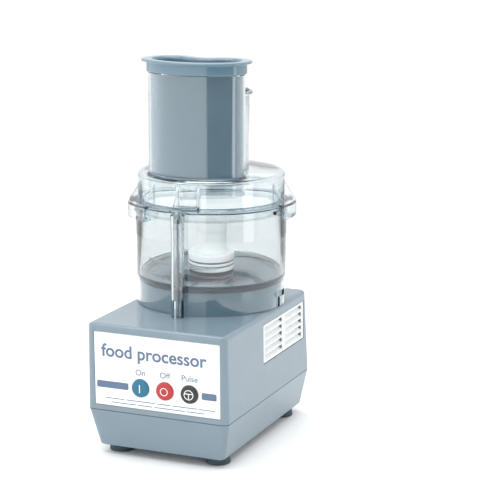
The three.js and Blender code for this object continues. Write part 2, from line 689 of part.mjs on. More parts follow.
add(parts, 'capacitor', capacitor(), 0xa9adb0, 0.3, 1);
add(parts, 'control_board', controlBoard(), 0x2f6b46, 0.6);
add(parts, 'safety_switch', box(30, 12, 9, 0, BOWL_Y - ROD_R, DECK_Z - WALL - 5), DARK, 0.5);

add(stack, 'motor_stator', stator(), 0x8a8f92, 0.5, 1);
add(stack, 'motor_top_bell', topBell(), 0xb3b7b9, 0.4, 1);
add(stack, 'motor_bottom_bell', bottomBell(), 0xb3b7b9, 0.4, 1);
add(stack, 'motor_rotor', ring(SHAFT_R + GAP, STATOR.bore - 1.3, 76, 130, 24), 0x7d8285, 0.4, 1);
add(stack, 'motor_shaft', motorShaft(), STEEL, 0.25, 1);
add(stack, 'motor_fan', coolingFan(), DARK, 0.6);
add(stack, 'upper_bearing', bearing(BELL_Z + 3 + GAP), STEEL, 0.25, 1);
add(stack, 'lower_bearing', bearing(53 + GAP), STEEL, 0.25, 1);
MOTOR_POSTS.forEach((post, i) => {
  add(stack, `motor_screw_${i + 1}`, motorScrew(post), STEEL, 0.35, 1);
});
add(stack, 'bowl_seat', bowlSeat(), HOUSING, 0.35);
PIN_ANGLES.forEach((angle, i) => {
  add(stack, `bayonet_pin_${['right', 'left'][i]}`, radialRod(3.4, 72, 96.2, angle), DARK, 0.4);
});
add(stack, 'shaft_seal', shaftSeal(), RUBBER, 0.7);
add(stack, 'bowl_gasket', bowlGasket(), DARK, 0.8);
add(stack, 'bowl', bowl(), CLEAR, 0.1);
add(stack, 'safety_rod', safetyRod(), STEEL, 0.25, 1);
add(stack, 'rod_spring', rodSpring(), STEEL, 0.3, 1);
add(stack, 'blade_hub', bladeHub(), WHITE, 0.4);
add(stack, 'blade_cap', bladeCap(), WHITE, 0.4);
add(stack, 'blade_sleeve', bladeSleeve(), STEEL, 0.3, 1);
add(stack, 'blade_wear_ring', wearRing(), DARK, 0.5);
add(stack, 'lower_knife', knife(KNIVES_Z[0], 0), STEEL, 0.2, 1);
add(stack, 'upper_knife', knife(KNIVES_Z[1], Math.PI), STEEL, 0.2, 1);
add(stack, 'lid_seal', lidSeal(), DARK, 0.7);
add(stack, 'lid', lid(), CLEAR, 0.1);
add(stack, 'large_pusher', largePusher(), HOUSING, 0.3);
add(stack, 'small_pusher', smallPusher(), CLEAR, 0.3);

export default parts;
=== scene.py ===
"""Looks of a bench-top food processor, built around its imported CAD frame.

Lengths are millimetres in the row frame: +Z up, -Y the front, +X the right side, and the origin
on the worktop at the middle of the footprint. Angles about the bowl's axis are degrees counted
from the front towards the right. The numbers in a profile are radii and heights.
"""

import logging
import math
from collections.abc import Callable, Sequence
from dataclasses import dataclass, field
from enum import Enum

import bpy
from mathutils import Matrix, Vector

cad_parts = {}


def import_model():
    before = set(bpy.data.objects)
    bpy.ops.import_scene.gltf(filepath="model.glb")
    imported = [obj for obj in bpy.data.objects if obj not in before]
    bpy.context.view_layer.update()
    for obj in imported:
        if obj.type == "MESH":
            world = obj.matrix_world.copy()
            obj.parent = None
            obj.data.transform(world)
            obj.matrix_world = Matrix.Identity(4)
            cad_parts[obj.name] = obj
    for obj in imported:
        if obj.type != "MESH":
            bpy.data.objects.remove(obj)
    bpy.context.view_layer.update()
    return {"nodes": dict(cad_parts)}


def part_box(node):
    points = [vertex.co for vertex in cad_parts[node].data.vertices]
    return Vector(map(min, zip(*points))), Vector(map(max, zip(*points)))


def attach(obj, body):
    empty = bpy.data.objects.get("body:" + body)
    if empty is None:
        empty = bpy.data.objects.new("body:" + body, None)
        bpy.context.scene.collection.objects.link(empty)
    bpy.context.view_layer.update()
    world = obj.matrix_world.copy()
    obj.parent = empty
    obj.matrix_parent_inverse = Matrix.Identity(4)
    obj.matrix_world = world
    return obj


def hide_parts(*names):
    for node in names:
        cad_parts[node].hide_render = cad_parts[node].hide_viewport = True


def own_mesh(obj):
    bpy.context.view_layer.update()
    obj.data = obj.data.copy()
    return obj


MM = 0.001
SEAM = 0.004 * MM  # vertices closer than this are one
NEAR = 0.01 * MM  # heights closer than this are the same
SMOOTH = 35  # edges sharper than this many degrees stay sharp
TABS = (-37, 90, 205)  # the middles of the lid's locking tabs, in degrees
CORNERS = ("front_left", "front_right", "rear_left", "rear_right")
LOG = logging.getLogger("food_processor")

Point = tuple[float, float]
Point3 = tuple[float, float, float]
Outline = tuple[float, float, float, float]
Tree = bpy.types.NodeTree
Socket = bpy.types.NodeSocket
Piece = bpy.types.Object


# ------------------------------------------------------------------ small helpers for colour and nodes
def linear(code: str) -> tuple[float, float, float, float]:
    """Turns an sRGB hex colour into the linear values that shaders use.

    Args:
        code: six hex digits, such as "9cabb6".

    Returns:
        Red, green, blue and alpha, linear.
    """
    channels = [int(code[i:i + 2], 16) / 255 for i in (0, 2, 4)]
    red, green, blue = [c / 12.92 if c <= 0.04045 else ((c + 0.055) / 1.055) ** 2.4 for c in channels]
    return (red, green, blue, 1.0)


def add_node(tree: Tree, kind: str, settings: dict | None = None,
             links: dict[str, Socket] | None = None) -> bpy.types.Node:
    """Adds one node with its settings and its incoming links.

    Args:
        tree: the node tree that gets the node.
        kind: the node's type, without the leading "ShaderNode".
        settings: values by input name, or by attribute name where there is no such input.
        links: the output socket that feeds each named input.

    Returns:
        The new node.
    """
    node = tree.nodes.new("ShaderNode" + kind)
    for name, value in (settings or {}).items():
        if name in node.inputs:
            node.inputs[name].default_value = value
        else:
            setattr(node, name, value)
    for name, socket in (links or {}).items():
        tree.links.new(socket, node.inputs[name])
    return node


# ------------------------------------------------------------------ finishes
@dataclass(frozen=True)
class Finish:
    """What every finish shares: a name, a colour and how rough its surface is."""

    name: str
    colour: str
    roughness: float = 0.3

    def material(self) -> bpy.types.Material:
        """Makes the finish's material on first use and keeps it.

        Returns:
            The material.
        """
        found = bpy.data.materials.get(self.name)
        if found is not None:
            return found
        made = bpy.data.materials.new(self.name)
        made.use_nodes = True
        made.diffuse_color = linear(self.colour)
        made.node_tree.nodes.clear()
        end = add_node(made.node_tree, "OutputMaterial", links={"Surface": self.surface(made.node_tree)})
        inside = self.volume(made.node_tree)
        if inside is not None:
            made.node_tree.links.new(inside, end.inputs["Volume"])
        return made

    def volume(self, tree: Tree) -> Socket | None:
        """Returns what fills the inside, if anything does."""
        return None

    def surface(self, tree: Tree) -> Socket:
        """Returns the output of the finish's shader, built in the tree."""
        raise NotImplementedError

    def noise(self, tree: Tree, size_mm: float, stretch: Point3 = (1, 1, 1), detail: float = 2.0) -> Socket:
        """Adds a noise that stays in place on the object.

        Args:
            tree: the material's node tree.
            size_mm: how wide its features are.
            stretch: how much finer it is along each axis; less than 1 draws it out.
            detail: how many finer layers it has.

        Returns:
            The noise's value.
        """
        place = add_node(tree, "TexCoord")
        mapped = add_node(tree, "Mapping", {"Scale": stretch}, {"Vector": place.outputs["Object"]})
        grain = add_node(tree, "TexNoise", {"Scale": 1 / (size_mm * MM), "Detail": detail},
                         {"Vector": mapped.outputs["Vector"]})
        return grain.outputs["Fac"]

    def spread(self, tree: Tree, source: Socket, low: float, high: float) -> Socket:
        """Returns the source's middle values spread over low to high."""
        settings = {"From Min": 0.3, "From Max": 0.7, "To Min": low, "To Max": high}
        return add_node(tree, "MapRange", settings, {"Value": source}).outputs["Result"]

    def tinted(self, tree: Tree, source: Socket, amount: float) -> Socket:
        """Varies the finish's colour a little.

        Args:
            tree: the material's node tree.
            source: the pattern that it follows.
            amount: how much darker and lighter it gets, as a share.

        Returns:
            The colour.
        """
        mix = add_node(tree, "Mix", {"data_type": "RGBA", "blend_type": "MULTIPLY"})
        mix.inputs[0].default_value = 1.0
        mix.inputs[6].default_value = linear(self.colour)
        tree.links.new(self.spread(tree, source, 1 - amount, 1 + amount), mix.inputs[7])
        return mix.outputs[2]

    def layered(self, tree: Tree, settings: dict[str, float], tone: tuple[Socket, float],
                wear: tuple[Socket, float, float], relief: tuple[Socket, float]) -> Socket:
        """Builds the shader that all opaque finishes use, from three patterns.

        Args:
            tree: the material's node tree.
            settings: the shader's even values, by socket.
            tone: the pattern that varies the colour, and by what share.
            wear: the pattern that varies the roughness, and how far below and above the finish's own.
            relief: the pattern that lifts the surface, and by how many millimetres.

        Returns:
            The shader.
        """
        source, below, above = wear
        bump = add_node(tree, "Bump", {"Distance": relief[1] * MM, "Strength": 1.0}, {"Height": relief[0]})
        shader = add_node(tree, "BsdfPrincipled", settings, {
            "Base Color": self.tinted(tree, *tone), "Normal": bump.outputs["Normal"],
            "Roughness": self.spread(tree, source, self.roughness - below, self.roughness + above)})
        return shader.outputs["BSDF"]


@dataclass(frozen=True)
class GlossABS(Finish):
    """Injection-moulded ABS from a polished mould: a wet gloss with a faint orange peel."""

    peel_mm: float = 2.2
    peel_height_mm: float = 0.004

    def surface(self, tree: Tree) -> Socket:
        """Returns the shader: cloudy colour from the melt's flow, handled patches and peel."""
        return self.layered(tree, {"IOR": 1.54, "Specular IOR Level": 0.55},
                            (self.noise(tree, 38, detail=3), 0.025), (self.noise(tree, 11, detail=4), 0, 0.06),
                            (self.noise(tree, self.peel_mm), self.peel_height_mm))


@dataclass(frozen=True)
class TexturedNylon(Finish):
    """Nylon from a spark-eroded mould: a fine, even matt grain."""

    grain_mm: float = 0.6
    height_mm: float = 0.02

    def surface(self, tree: Tree) -> Socket:
        """Builds the shader, whose grain lifts and dulls the surface.

        Args:
            tree: the material's node tree.

        Returns:
            The shader.
        """
        grain = self.noise(tree, self.grain_mm, detail=3)
        return self.layered(tree, {"IOR": 1.53}, (self.noise(tree, 9), 0.04), (grain, 0.05, 0.08),
                            (grain, self.height_mm))


@dataclass(frozen=True)
class ClearPolycarbonate(Finish):
    """Clear moulded polycarbonate: high index, dark refracting edges, a trace of wash haze."""

    shadow: str = "f6f8f9"
    haze: float = 0.0
    depth_tint: str = "8fb4c4"
    density: float = 14.0

    def volume(self, tree: Tree) -> Socket:
        """Returns a tint of long paths in the wall, so that edges seen lengthwise turn slate blue."""
        soak = add_node(tree, "VolumeAbsorption", {"Color": linear(self.depth_tint), "Density": self.density})
        return soak.outputs["Volume"]

    def surface(self, tree: Tree) -> Socket:
        """Builds the shader; lamps shine through it, as they do through a thin clear wall.

        Args:
            tree: the material's node tree.

        Returns:
            The shader.
        """
        worn = self.noise(tree, 6, stretch=(1, 1, 0.25), detail=4)
        rough = self.spread(tree, worn, self.roughness, self.roughness + 0.006 + self.haze)
        settings = {"Base Color": linear(self.colour), "IOR": 1.585, "Transmission Weight": 1.0}
        shader = add_node(tree, "BsdfPrincipled", settings, {"Roughness": rough})
        through = add_node(tree, "BsdfTransparent", {"Color": linear(self.shadow)})
        path = add_node(tree, "LightPath")
        mix = add_node(tree, "MixShader", links={"Fac": path.outputs["Is Shadow Ray"]})
        tree.links.new(shader.outputs["BSDF"], mix.inputs[1])
        tree.links.new(through.outputs["BSDF"], mix.inputs[2])
        return mix.outputs["Shader"]


@dataclass(frozen=True)
class WhiteAcetal(Finish):
    """White acetal of food-grade parts: dense, slightly waxy, light soaks in at the edges."""

    def surface(self, tree: Tree) -> Socket:
        """Returns the shader, with light scattered about 4 mm under the surface."""
        return self.layered(tree, {"IOR": 1.48, "Subsurface Weight": 0.2, "Subsurface Scale": 0.004},
                            (self.noise(tree, 14), 0.015), (self.noise(tree, 4), 0, 0.1),
                            (self.noise(tree, 1.5), 0.004))


@dataclass(frozen=True)
class PolishedSteel(Finish):
    """Stainless steel, ground and polished: fine lines along one direction."""

    line_mm: float = 0.3
    along: Point3 = (0.06, 1.0, 1.0)

    def surface(self, tree: Tree) -> Socket:
        """Builds the shader, all of whose patterns are the grinding lines.

        Args:
            tree: the material's node tree.

        Returns:
            The shader.
        """
        lines = self.noise(tree, self.line_mm, stretch=self.along, detail=3)
        return self.layered(tree, {"Metallic": 1.0}, (lines, 0.03), (lines, 0, 0.12), (lines, 0.0006))


@dataclass(frozen=True)
class CastAluminium(Finish):
    """Sand-blasted aluminium casting: a soft grey sparkle."""

    def surface(self, tree: Tree) -> Socket:
        """Builds the shader, all of whose patterns are the blasted grain.

        Args:
            tree: the material's node tree.

        Returns:
            The shader.
        """
        blast = self.noise(tree, 0.8, detail=4)
        return self.layered(tree, {"Metallic": 1.0}, (blast, 0.08), (blast, 0, 0.15), (blast, 0.02))


@dataclass(frozen=True)
class StackedSteel(Finish):
    """Stamped motor laminations: fine level lines between the sheets."""

    sheet_mm: float = 1.0
    band: float = 0.314  # metres from band to band of a wave texture whose scale is 1

    def surface(self, tree: Tree) -> Socket:
        """Builds the shader; real sheets are 0.5 mm and are drawn at 1 mm so that they show.

        Args:
            tree: the material's node tree.

        Returns:
            The shader.
        """
        place = add_node(tree, "TexCoord")
        settings = {"bands_direction": "Z", "Scale": self.band / (self.sheet_mm * MM), "Distortion": 0.2}
        wave = add_node(tree, "TexWave", settings, {"Vector": place.outputs["Object"]})
        sheets = wave.outputs["Fac"]
        return self.layered(tree, {"Metallic": 1.0}, (sheets, 0.2), (sheets, 0, 0.2), (sheets, 0.05))


@dataclass(frozen=True)
class MouldedRubber(Finish):
    """Compression-moulded rubber: matt, with a dusty bloom and tiny pits."""

    def surface(self, tree: Tree) -> Socket:
        """Builds the shader: bloom in the colour, pits in the roughness and relief.

        Args:
            tree: the material's node tree.

        Returns:
            The shader.
        """
        pits = self.noise(tree, 1.1, detail=5)
        return self.layered(tree, {"IOR": 1.52, "Specular IOR Level": 0.4},
                            (self.noise(tree, 7, detail=4), 0.12), (pits, 0.08, 0.1), (pits, 0.03))


@dataclass(frozen=True)
class PrintedFilm(Finish):
    """Screen-printed polyester film: an even colour under a fine satin tooth."""

    def surface(self, tree: Tree) -> Socket:
        """Builds the shader, whose tooth scatters the reflections a little.

        Args:
            tree: the material's node tree.

        Returns:
            The shader.
        """
        tooth = self.noise(tree, 0.7, detail=3)
        return self.layered(tree, {"IOR": 1.5}, (self.noise(tree, 20), 0.012), (tooth, 0, 0.08),
                            (tooth, 0.005))


@dataclass(frozen=True)
class Palette:
    """The object's finishes, each with what it gives the eye."""

    # Moulded in blue-grey, polished: the casing mirrors the room in soft panels
    housing: Finish = GlossABS("blue_grey_abs", "778994", 0.06)
    # The same plastic, darker: a painted shade over the whole pusher
    pusher: Finish = GlossABS("blue_grey_abs_painted_shade", "637f8e", 0.05)
    # The same plastic, lighter: a painted light over the seat and the bayonet pins
    seat: Finish = GlossABS("blue_grey_abs_painted_light", "7f9bab", 0.08)
    # White film with satin blue-grey ink: the brightest surface of the front
    label: Finish = PrintedFilm("white_label_film", "f3f5f4", 0.3)
    ink: Finish = PrintedFilm("blue_grey_label_ink", "5a6f8a", 0.35)
    button_ink: Finish = PrintedFilm("white_button_ink", "f4f6f6", 0.35)
    # Buttons of dyed ABS: strong, even colours with one soft highlight
    on_button: Finish = GlossABS("teal_button_abs", "006685", 0.3)
    off_button: Finish = GlossABS("red_button_abs", "b01f26", 0.3)
    pulse_button: Finish = GlossABS("slate_button_abs", "131b20", 0.3)
    # Matt nylon, without highlights: off-white grilles, dark switches and fan, green board
    vent: Finish = TexturedNylon("pale_vent_nylon", "dfe2e2", 0.4)
    dark_nylon: Finish = TexturedNylon("dark_nylon", "262c30", 0.5)
    circuit: Finish = TexturedNylon("circuit_board_laminate", "2c6a46", 0.45)
    # Rubber: dusty slate feet; dark blue-black seals, whose colour also draws the dark line round the bowl's
    # foot, a painted shade
    foot: Finish = MouldedRubber("slate_foot_rubber", "36474f", 0.6)
    seal: Finish = MouldedRubber("black_seal_rubber_and_painted_shade", "0f3044", 0.5)
    # Clear polycarbonate: the bowl tinted grey, a painted shade on all that is seen through it; the lid tinted
    # clearer, a painted light; the small pusher clearer
    bowl: Finish = ClearPolycarbonate("clear_polycarbonate", "e8eaea", 0.0, shadow="fdfdfd", density=40)
    lid: Finish = ClearPolycarbonate("clear_lid_polycarbonate", "fafcfc", 0.0, shadow="fdfdfd", density=45)
    small_pusher: Finish = ClearPolycarbonate("clear_pusher_polycarbonate", "eef3f3", 0.03, haze=0.05)
    # Waxy white acetal: the hub, bright inside the bowl
    acetal: Finish = WhiteAcetal("white_acetal", "fafaf8", 0.25)
    # Metals: lines drawn out along the ground knives and the drawn rod, a grey sparkle on the
    # blasted castings, level lines between the motor's laminations
    steel: Finish = PolishedSteel("polished_stainless_steel", "a4adb2", 0.2)
    rod_steel: Finish = PolishedSteel("drawn_rod_steel", "9aa3a9", 0.25, 0.4, (1.0, 1.0, 0.05))
    casting: Finish = CastAluminium("blasted_aluminium", "a9aeb0", 0.35)
    lamination: Finish = StackedSteel("motor_laminations", "83888b", 0.35)
    # Pale matt floor: it takes a faint shadow
    floor: Finish = PrintedFilm("pale_floor", "f7f8f8", 0.55)


PALETTE = Palette()


# ------------------------------------------------------------------ modelling, step by step
def deselect() -> None:
    """Leaves edit mode and selects nothing."""
    if bpy.context.object is not None and bpy.context.object.mode != "OBJECT":
        bpy.ops.object.mode_set(mode="OBJECT")
    bpy.ops.object.select_all(action="DESELECT")


def activate(piece: Piece) -> None:
    """Makes one object the only selected and the active one.

    Args:
        piece: the object.
    """
    deselect()
    piece.select_set(True)
    bpy.context.view_layer.objects.active = piece


def apply() -> None:
    """Puts the active object's place, turn and scale into its mesh."""
    bpy.ops.object.transform_apply(location=True, rotation=True, scale=True)


def pick(piece: Piece, kind: str, test: Callable[[Vector, Vector], bool]) -> None:
    """Selects faces or edges by a test, and enters edit mode.

    Args:
        piece: the object.
        kind: FACE or EDGE.
        test: says what is selected, from a face's centre and normal or from an edge's two ends.
    """
    activate(piece)
    bpy.ops.object.mode_set(mode="EDIT")
    bpy.ops.mesh.select_mode(type=kind)
    bpy.ops.mesh.select_all(action="DESELECT")
    bpy.ops.object.mode_set(mode="OBJECT")
    if kind == "FACE":
        for face in piece.data.polygons:
            face.select = test(face.center, face.normal)
    else:
        for edge in piece.data.edges:
            edge.select = test(*(piece.data.vertices[end].co for end in edge.vertices))
    bpy.ops.object.mode_set(mode="EDIT")


def scaled(point: Sequence[float]) -> Vector:
    """Returns a point in metres from one in millimetres."""
    return Vector(point) * MM


def begin(name: str, at: Point3) -> Piece:
    """Starts a piece as a single vertex and stays in edit mode.

    Args:
        name: the piece's name.
        at: the vertex's place.

    Returns:
        The new object.
    """
    deselect()
    bpy.ops.mesh.primitive_plane_add(size=MM)
    piece = bpy.context.object
    piece.name = name
    piece.data.name = name
    bpy.ops.object.mode_set(mode="EDIT")
    bpy.ops.mesh.select_mode(type="VERT")
    bpy.ops.mesh.select_all(action="SELECT")
    bpy.ops.mesh.merge(type="CENTER")
    bpy.ops.transform.translate(value=scaled(at))
    return piece


def draw(points: Sequence[Point3]) -> None:
    """Extrudes the selected vertex along a line.

    Args:
        points: the line, which starts where the vertex is.
    """
    for start, end in zip(points, points[1:]):
        step = scaled(end) - scaled(start)
        bpy.ops.mesh.extrude_region_move(TRANSFORM_OT_translate={"value": step})


def weld() -> None:
    """Closes the seams of the mesh that is edited, and leaves all of it selected."""
    bpy.ops.mesh.select_all(action="SELECT")
    bpy.ops.mesh.remove_doubles(threshold=SEAM)
    bpy.ops.mesh.select_all(action="SELECT")


def spin(centre: Point, degrees: float, steps: int) -> None:
    """Sweeps the selected outline about an upright axis, anticlockwise from above."""
    axis_at = scaled((centre[0], centre[1], 0))
    bpy.ops.mesh.spin(steps=steps, angle=-math.radians(degrees), center=axis_at, axis=(0, 0, 1))


def tidy(piece: Piece, smooth: float = SMOOTH) -> Piece:
    """Closes seams, turns faces outwards and smooths all but the sharp edges.

    Args:
        piece: the piece, in edit mode or not.
        smooth: edges sharper than this many degrees stay sharp.

    Returns:
        The same piece, in object mode.
    """
    if piece.mode != "EDIT":
        activate(piece)
        bpy.ops.object.mode_set(mode="EDIT")
    weld()
    bpy.ops.mesh.normals_make_consistent(inside=False)
    activate(piece)
    bpy.ops.object.shade_smooth_by_angle(angle=math.radians(smooth))
    return piece


def arc(centre: Point, radius: float, start: float, end: float, steps: int) -> list[Point]:
    """Returns points of an arc, from one angle to another, in degrees."""
    angles = [math.radians(start + (end - start) * i / steps) for i in range(steps + 1)]
    return [(centre[0] + radius * math.cos(a), centre[1] + radius * math.sin(a)) for a in angles]


def around(centre: Point, radius: float, degrees: float, height: float) -> Point3:
    """Returns the point at a radius and angle from the front about an upright axis."""
    a = math.radians(degrees)
    return (centre[0] + radius * math.sin(a), centre[1] - radius * math.cos(a), height)


def lathe(name: str, profile: Sequence[Point], centre: Point, steps: int = 96,
          start: float = 0, turn: float = 360, closed: bool = True, smooth: float = SMOOTH) -> Piece:
    """Turns a profile about an upright axis.

    Args:
        name: the piece's name.
        profile: (radius, height) points.
        centre: the axis.
        steps: segments of the turn.
        start: the angle from the front that the profile stands at.
        turn: how far it is swept towards the right.
        closed: True where the profile's end is joined back to its start.
        smooth: edges sharper than this stay sharp.

    Returns:
        The closed piece.
    """
    outline = list(profile) + ([profile[0]] if closed else [])
    points = [around(centre, r, start, z) for r, z in outline]
    piece = begin(name, points[0])
    draw(points)
    weld()
    if turn < 360:
        bpy.ops.mesh.edge_face_add()
    spin(centre, turn, steps)
    return tidy(piece, smooth)


def solid(name: str, outline: Sequence[Point3], rise: Point3) -> Piece:
    """Fills a closed outline and extrudes it.

    Args:
        name: the piece's name.
        outline: its corners in order.
        rise: the extrusion.

    Returns:
        The closed piece.
    """
    points = list(outline)
    piece = begin(name, points[0])
    draw(points)
    bpy.ops.mesh.select_all(action="SELECT")
    bpy.ops.mesh.edge_face_add()
    bpy.ops.mesh.extrude_region_move(TRANSFORM_OT_translate={"value": scaled(rise)})
    return tidy(piece)


def block(name: str, centre: Point3, size: Point3, bevel: float = 0, segments: int = 3) -> Piece:
    """Makes a box with its edges rounded.

    Args:
        name: the piece's name.
        centre: its middle.
        size: its width, depth and height.
        bevel: the rounding's size.
        segments: how many steps the rounding has.

    Returns:
        The closed piece.
    """
    deselect()
    bpy.ops.mesh.primitive_cube_add(size=1, location=scaled(centre), scale=scaled(size))
    piece = bpy.context.object
    piece.name = name
    apply()
    if bevel:
        bpy.ops.object.mode_set(mode="EDIT")
        bpy.ops.mesh.select_all(action="SELECT")
        bpy.ops.mesh.bevel(offset=bevel * MM, segments=segments, affect="EDGES")
    return tidy(piece)


def bar(centre: Sequence[float], radius: float, length: float, steps: int, turn: Point3 = (0, 0, 0)) -> Piece:
    """Makes a round bar that cuts a hole.

    Args:
        centre: its middle.
        radius: its radius.
        length: its length.
        steps: how many sides it has.
        turn: its turn about X, Y and Z from upright, in radians.

    Returns:
        The closed piece.
    """
    deselect()
    bpy.ops.mesh.primitive_cylinder_add(vertices=steps, radius=radius * MM, depth=length * MM,
                                        location=scaled(centre), rotation=turn)
    apply()
    return bpy.context.object


def combine(body: Piece, tools: Sequence[Piece], how: str) -> Piece:
    """Joins tools to a body or cuts them from it, and smooths the result.

    Args:
        body: the piece that stays.
        tools: the pieces that are used up.
        how: UNION or DIFFERENCE.

    Returns:
        The body.
    """
    for tool in tools:
        activate(body)
        step = body.modifiers.new(how, "BOOLEAN")
        step.operation = how
        step.solver = "MANIFOLD"
        step.object = tool
        bpy.ops.object.modifier_apply(modifier=step.name)
        bpy.data.objects.remove(tool)
    activate(body)
    bpy.ops.object.shade_smooth_by_angle(angle=math.radians(SMOOTH))
    return body


def merge(name: str, pieces: Sequence[Piece]) -> Piece:
    """Joins separate shells into one object.

    Args:
        name: the object's name.
        pieces: the shells.

    Returns:
        The object.
    """
    activate(pieces[0])
    for piece in pieces:
        piece.select_set(True)
    bpy.ops.object.join()
    pieces[0].name = name
    return pieces[0]


def settle(piece: Piece, turned: Matrix) -> Piece:
    """Puts a finished piece in its place and leaves its object at the origin, unturned.

    Args:
        piece: the piece.
        turned: its place and turn.

    Returns:
        The same piece.
    """
    activate(piece)
    piece.matrix_world = turned
    apply()
    return piece


def copied(piece: Piece, name: str, turned: Matrix) -> Piece:
    """Copies a piece, with a mesh of its own, and puts the copy in its place.

    Args:
        piece: the piece, which stays as it is.
        name: the copy's name.
        turned: the copy's place and turn.

    Returns:
        The copy.
    """
    activate(piece)
    bpy.ops.object.duplicate()
    twin = bpy.context.object
    twin.name = twin.data.name = name
    return settle(twin, turned)


def dress(piece: Piece, finish: Finish, body: str, replaced: Sequence[str] = ()) -> Piece:
    """Gives a piece its material and body, and hides the CAD nodes that it stands for.

    Args:
        piece: the finished piece.
        finish: its finish.
        body: the body that it rides on.
        replaced: the CAD nodes that it replaces.

    Returns:
        The same piece.
    """
    piece.data.materials.clear()
    piece.data.materials.append(finish.material())
    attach(piece, body)
    if replaced:
        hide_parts(*replaced)
    LOG.info("%s rides on %s", piece.name, body)
    return piece


# ------------------------------------------------------------------ places that the CAD frame gives
def span(name: str) -> list[Vector]:
    """Returns the low and the high corner of a CAD node's box."""
    return [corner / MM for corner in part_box(name)]


@dataclass(frozen=True)
class Places:
    """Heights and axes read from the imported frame."""

    axis: Point
    deck: float
    split: float
    half_width: float
    bowl_foot: float
    bowl_top: float
    hopper_top: float
    pusher_top: float
    rod: Point
    tube: Point

    @classmethod
    def read(cls) -> "Places":
        """Reads the places from the boxes of the CAD nodes.

        Returns:
            The places.
        """
        box = {name: span(name) for name in (
            "bowl_gasket", "upper_housing", "bowl", "lid", "large_pusher", "safety_rod", "small_pusher")}

        def middle(name: str) -> Point:
            """Returns the middle of a node's plan."""
            return tuple((box[name][0] + box[name][1]) / 2)[:2]

        return cls(axis=middle("bowl_gasket"), deck=box["upper_housing"][1].z, split=box["upper_housing"][0].z,
                   half_width=box["upper_housing"][1].x, bowl_foot=box["bowl"][0].z, bowl_top=box["bowl"][1].z,
                   hopper_top=box["lid"][1].z, pusher_top=box["large_pusher"][1].z, rod=middle("safety_rod"),
                   tube=middle("small_pusher"))


@dataclass
class Kidney:
    """The hopper's plan: an arc about the bowl's axis with a round at each end."""

    axis: Point
    centre_line: float = 59.4
    half_angle: float = 38.4

    def sweep(self, name: str, profile: Sequence[Point], closed: bool = True,
              fill: bool = False) -> Piece:
        """Sweeps a profile all round the plan.

        Args:
            name: the piece's name.
            profile: (distance out from the centre line, height) points.
            closed: True where the profile's end is joined back to its start.
            fill: True to fill the openings that an open profile leaves.

        Returns:
            The swept piece.
        """
        outline = list(profile) + ([profile[0]] if closed else [])
        points = [around(self.axis, self.centre_line + out, -self.half_angle, z) for out, z in outline]
        piece = begin(name, points[0])
        draw(points)
        weld()
        right = around(self.axis, self.centre_line, self.half_angle, 0)[:2]
        left = around(self.axis, self.centre_line, -self.half_angle, 0)[:2]
        for centre, degrees, steps in ((self.axis, 2 * self.half_angle, 30), (right, 180, 30),
                                       (self.axis, -2 * self.half_angle, 20), (left, 180, 30)):
            spin(centre, degrees, steps)
        weld()
        if fill:
            bpy.ops.mesh.select_all(action="DESELECT")
            bpy.ops.mesh.select_non_manifold()
            bpy.ops.mesh.edge_face_add()
        return tidy(piece)


# ------------------------------------------------------------------ base
@dataclass
class Panel:
    """The sloping front face: x to the right, up along the face, out towards the front."""

    places: Places
    foot_front: float = -146
    deck_front: float = -149
    middle: float = 116.25
    label_depth: float = 0.8

    @property
    def tilt(self) -> float:
        """How far the face leans forward at the top, in radians."""
        return math.atan2(self.foot_front - self.deck_front, self.places.deck - self.places.split)

    def stand(self, piece: Piece, out: float = 0.0) -> Piece:
        """Moves a piece that is drawn flat, facing up, onto the face.

        Args:
            piece: the piece, drawn around the face's middle.
            out: how far it stands out from the face.

        Returns:
            The same piece.
        """
        share = (self.middle - self.places.split) / (self.places.deck - self.places.split)
        front = self.foot_front + share * (self.deck_front - self.foot_front)
        turn = Matrix.Rotation(math.pi / 2 + self.tilt, 4, "X")
        normal = Vector((0, -math.cos(self.tilt), -math.sin(self.tilt)))
        place = Vector((0, front, self.middle)) + normal * out
        return settle(piece, Matrix.Translation(place * MM) @ turn)


class ButtonMark(Enum):
    """The plain marks on the three buttons."""

    BAR = "on"
    RING = "off"
    PULSE = "pulse"


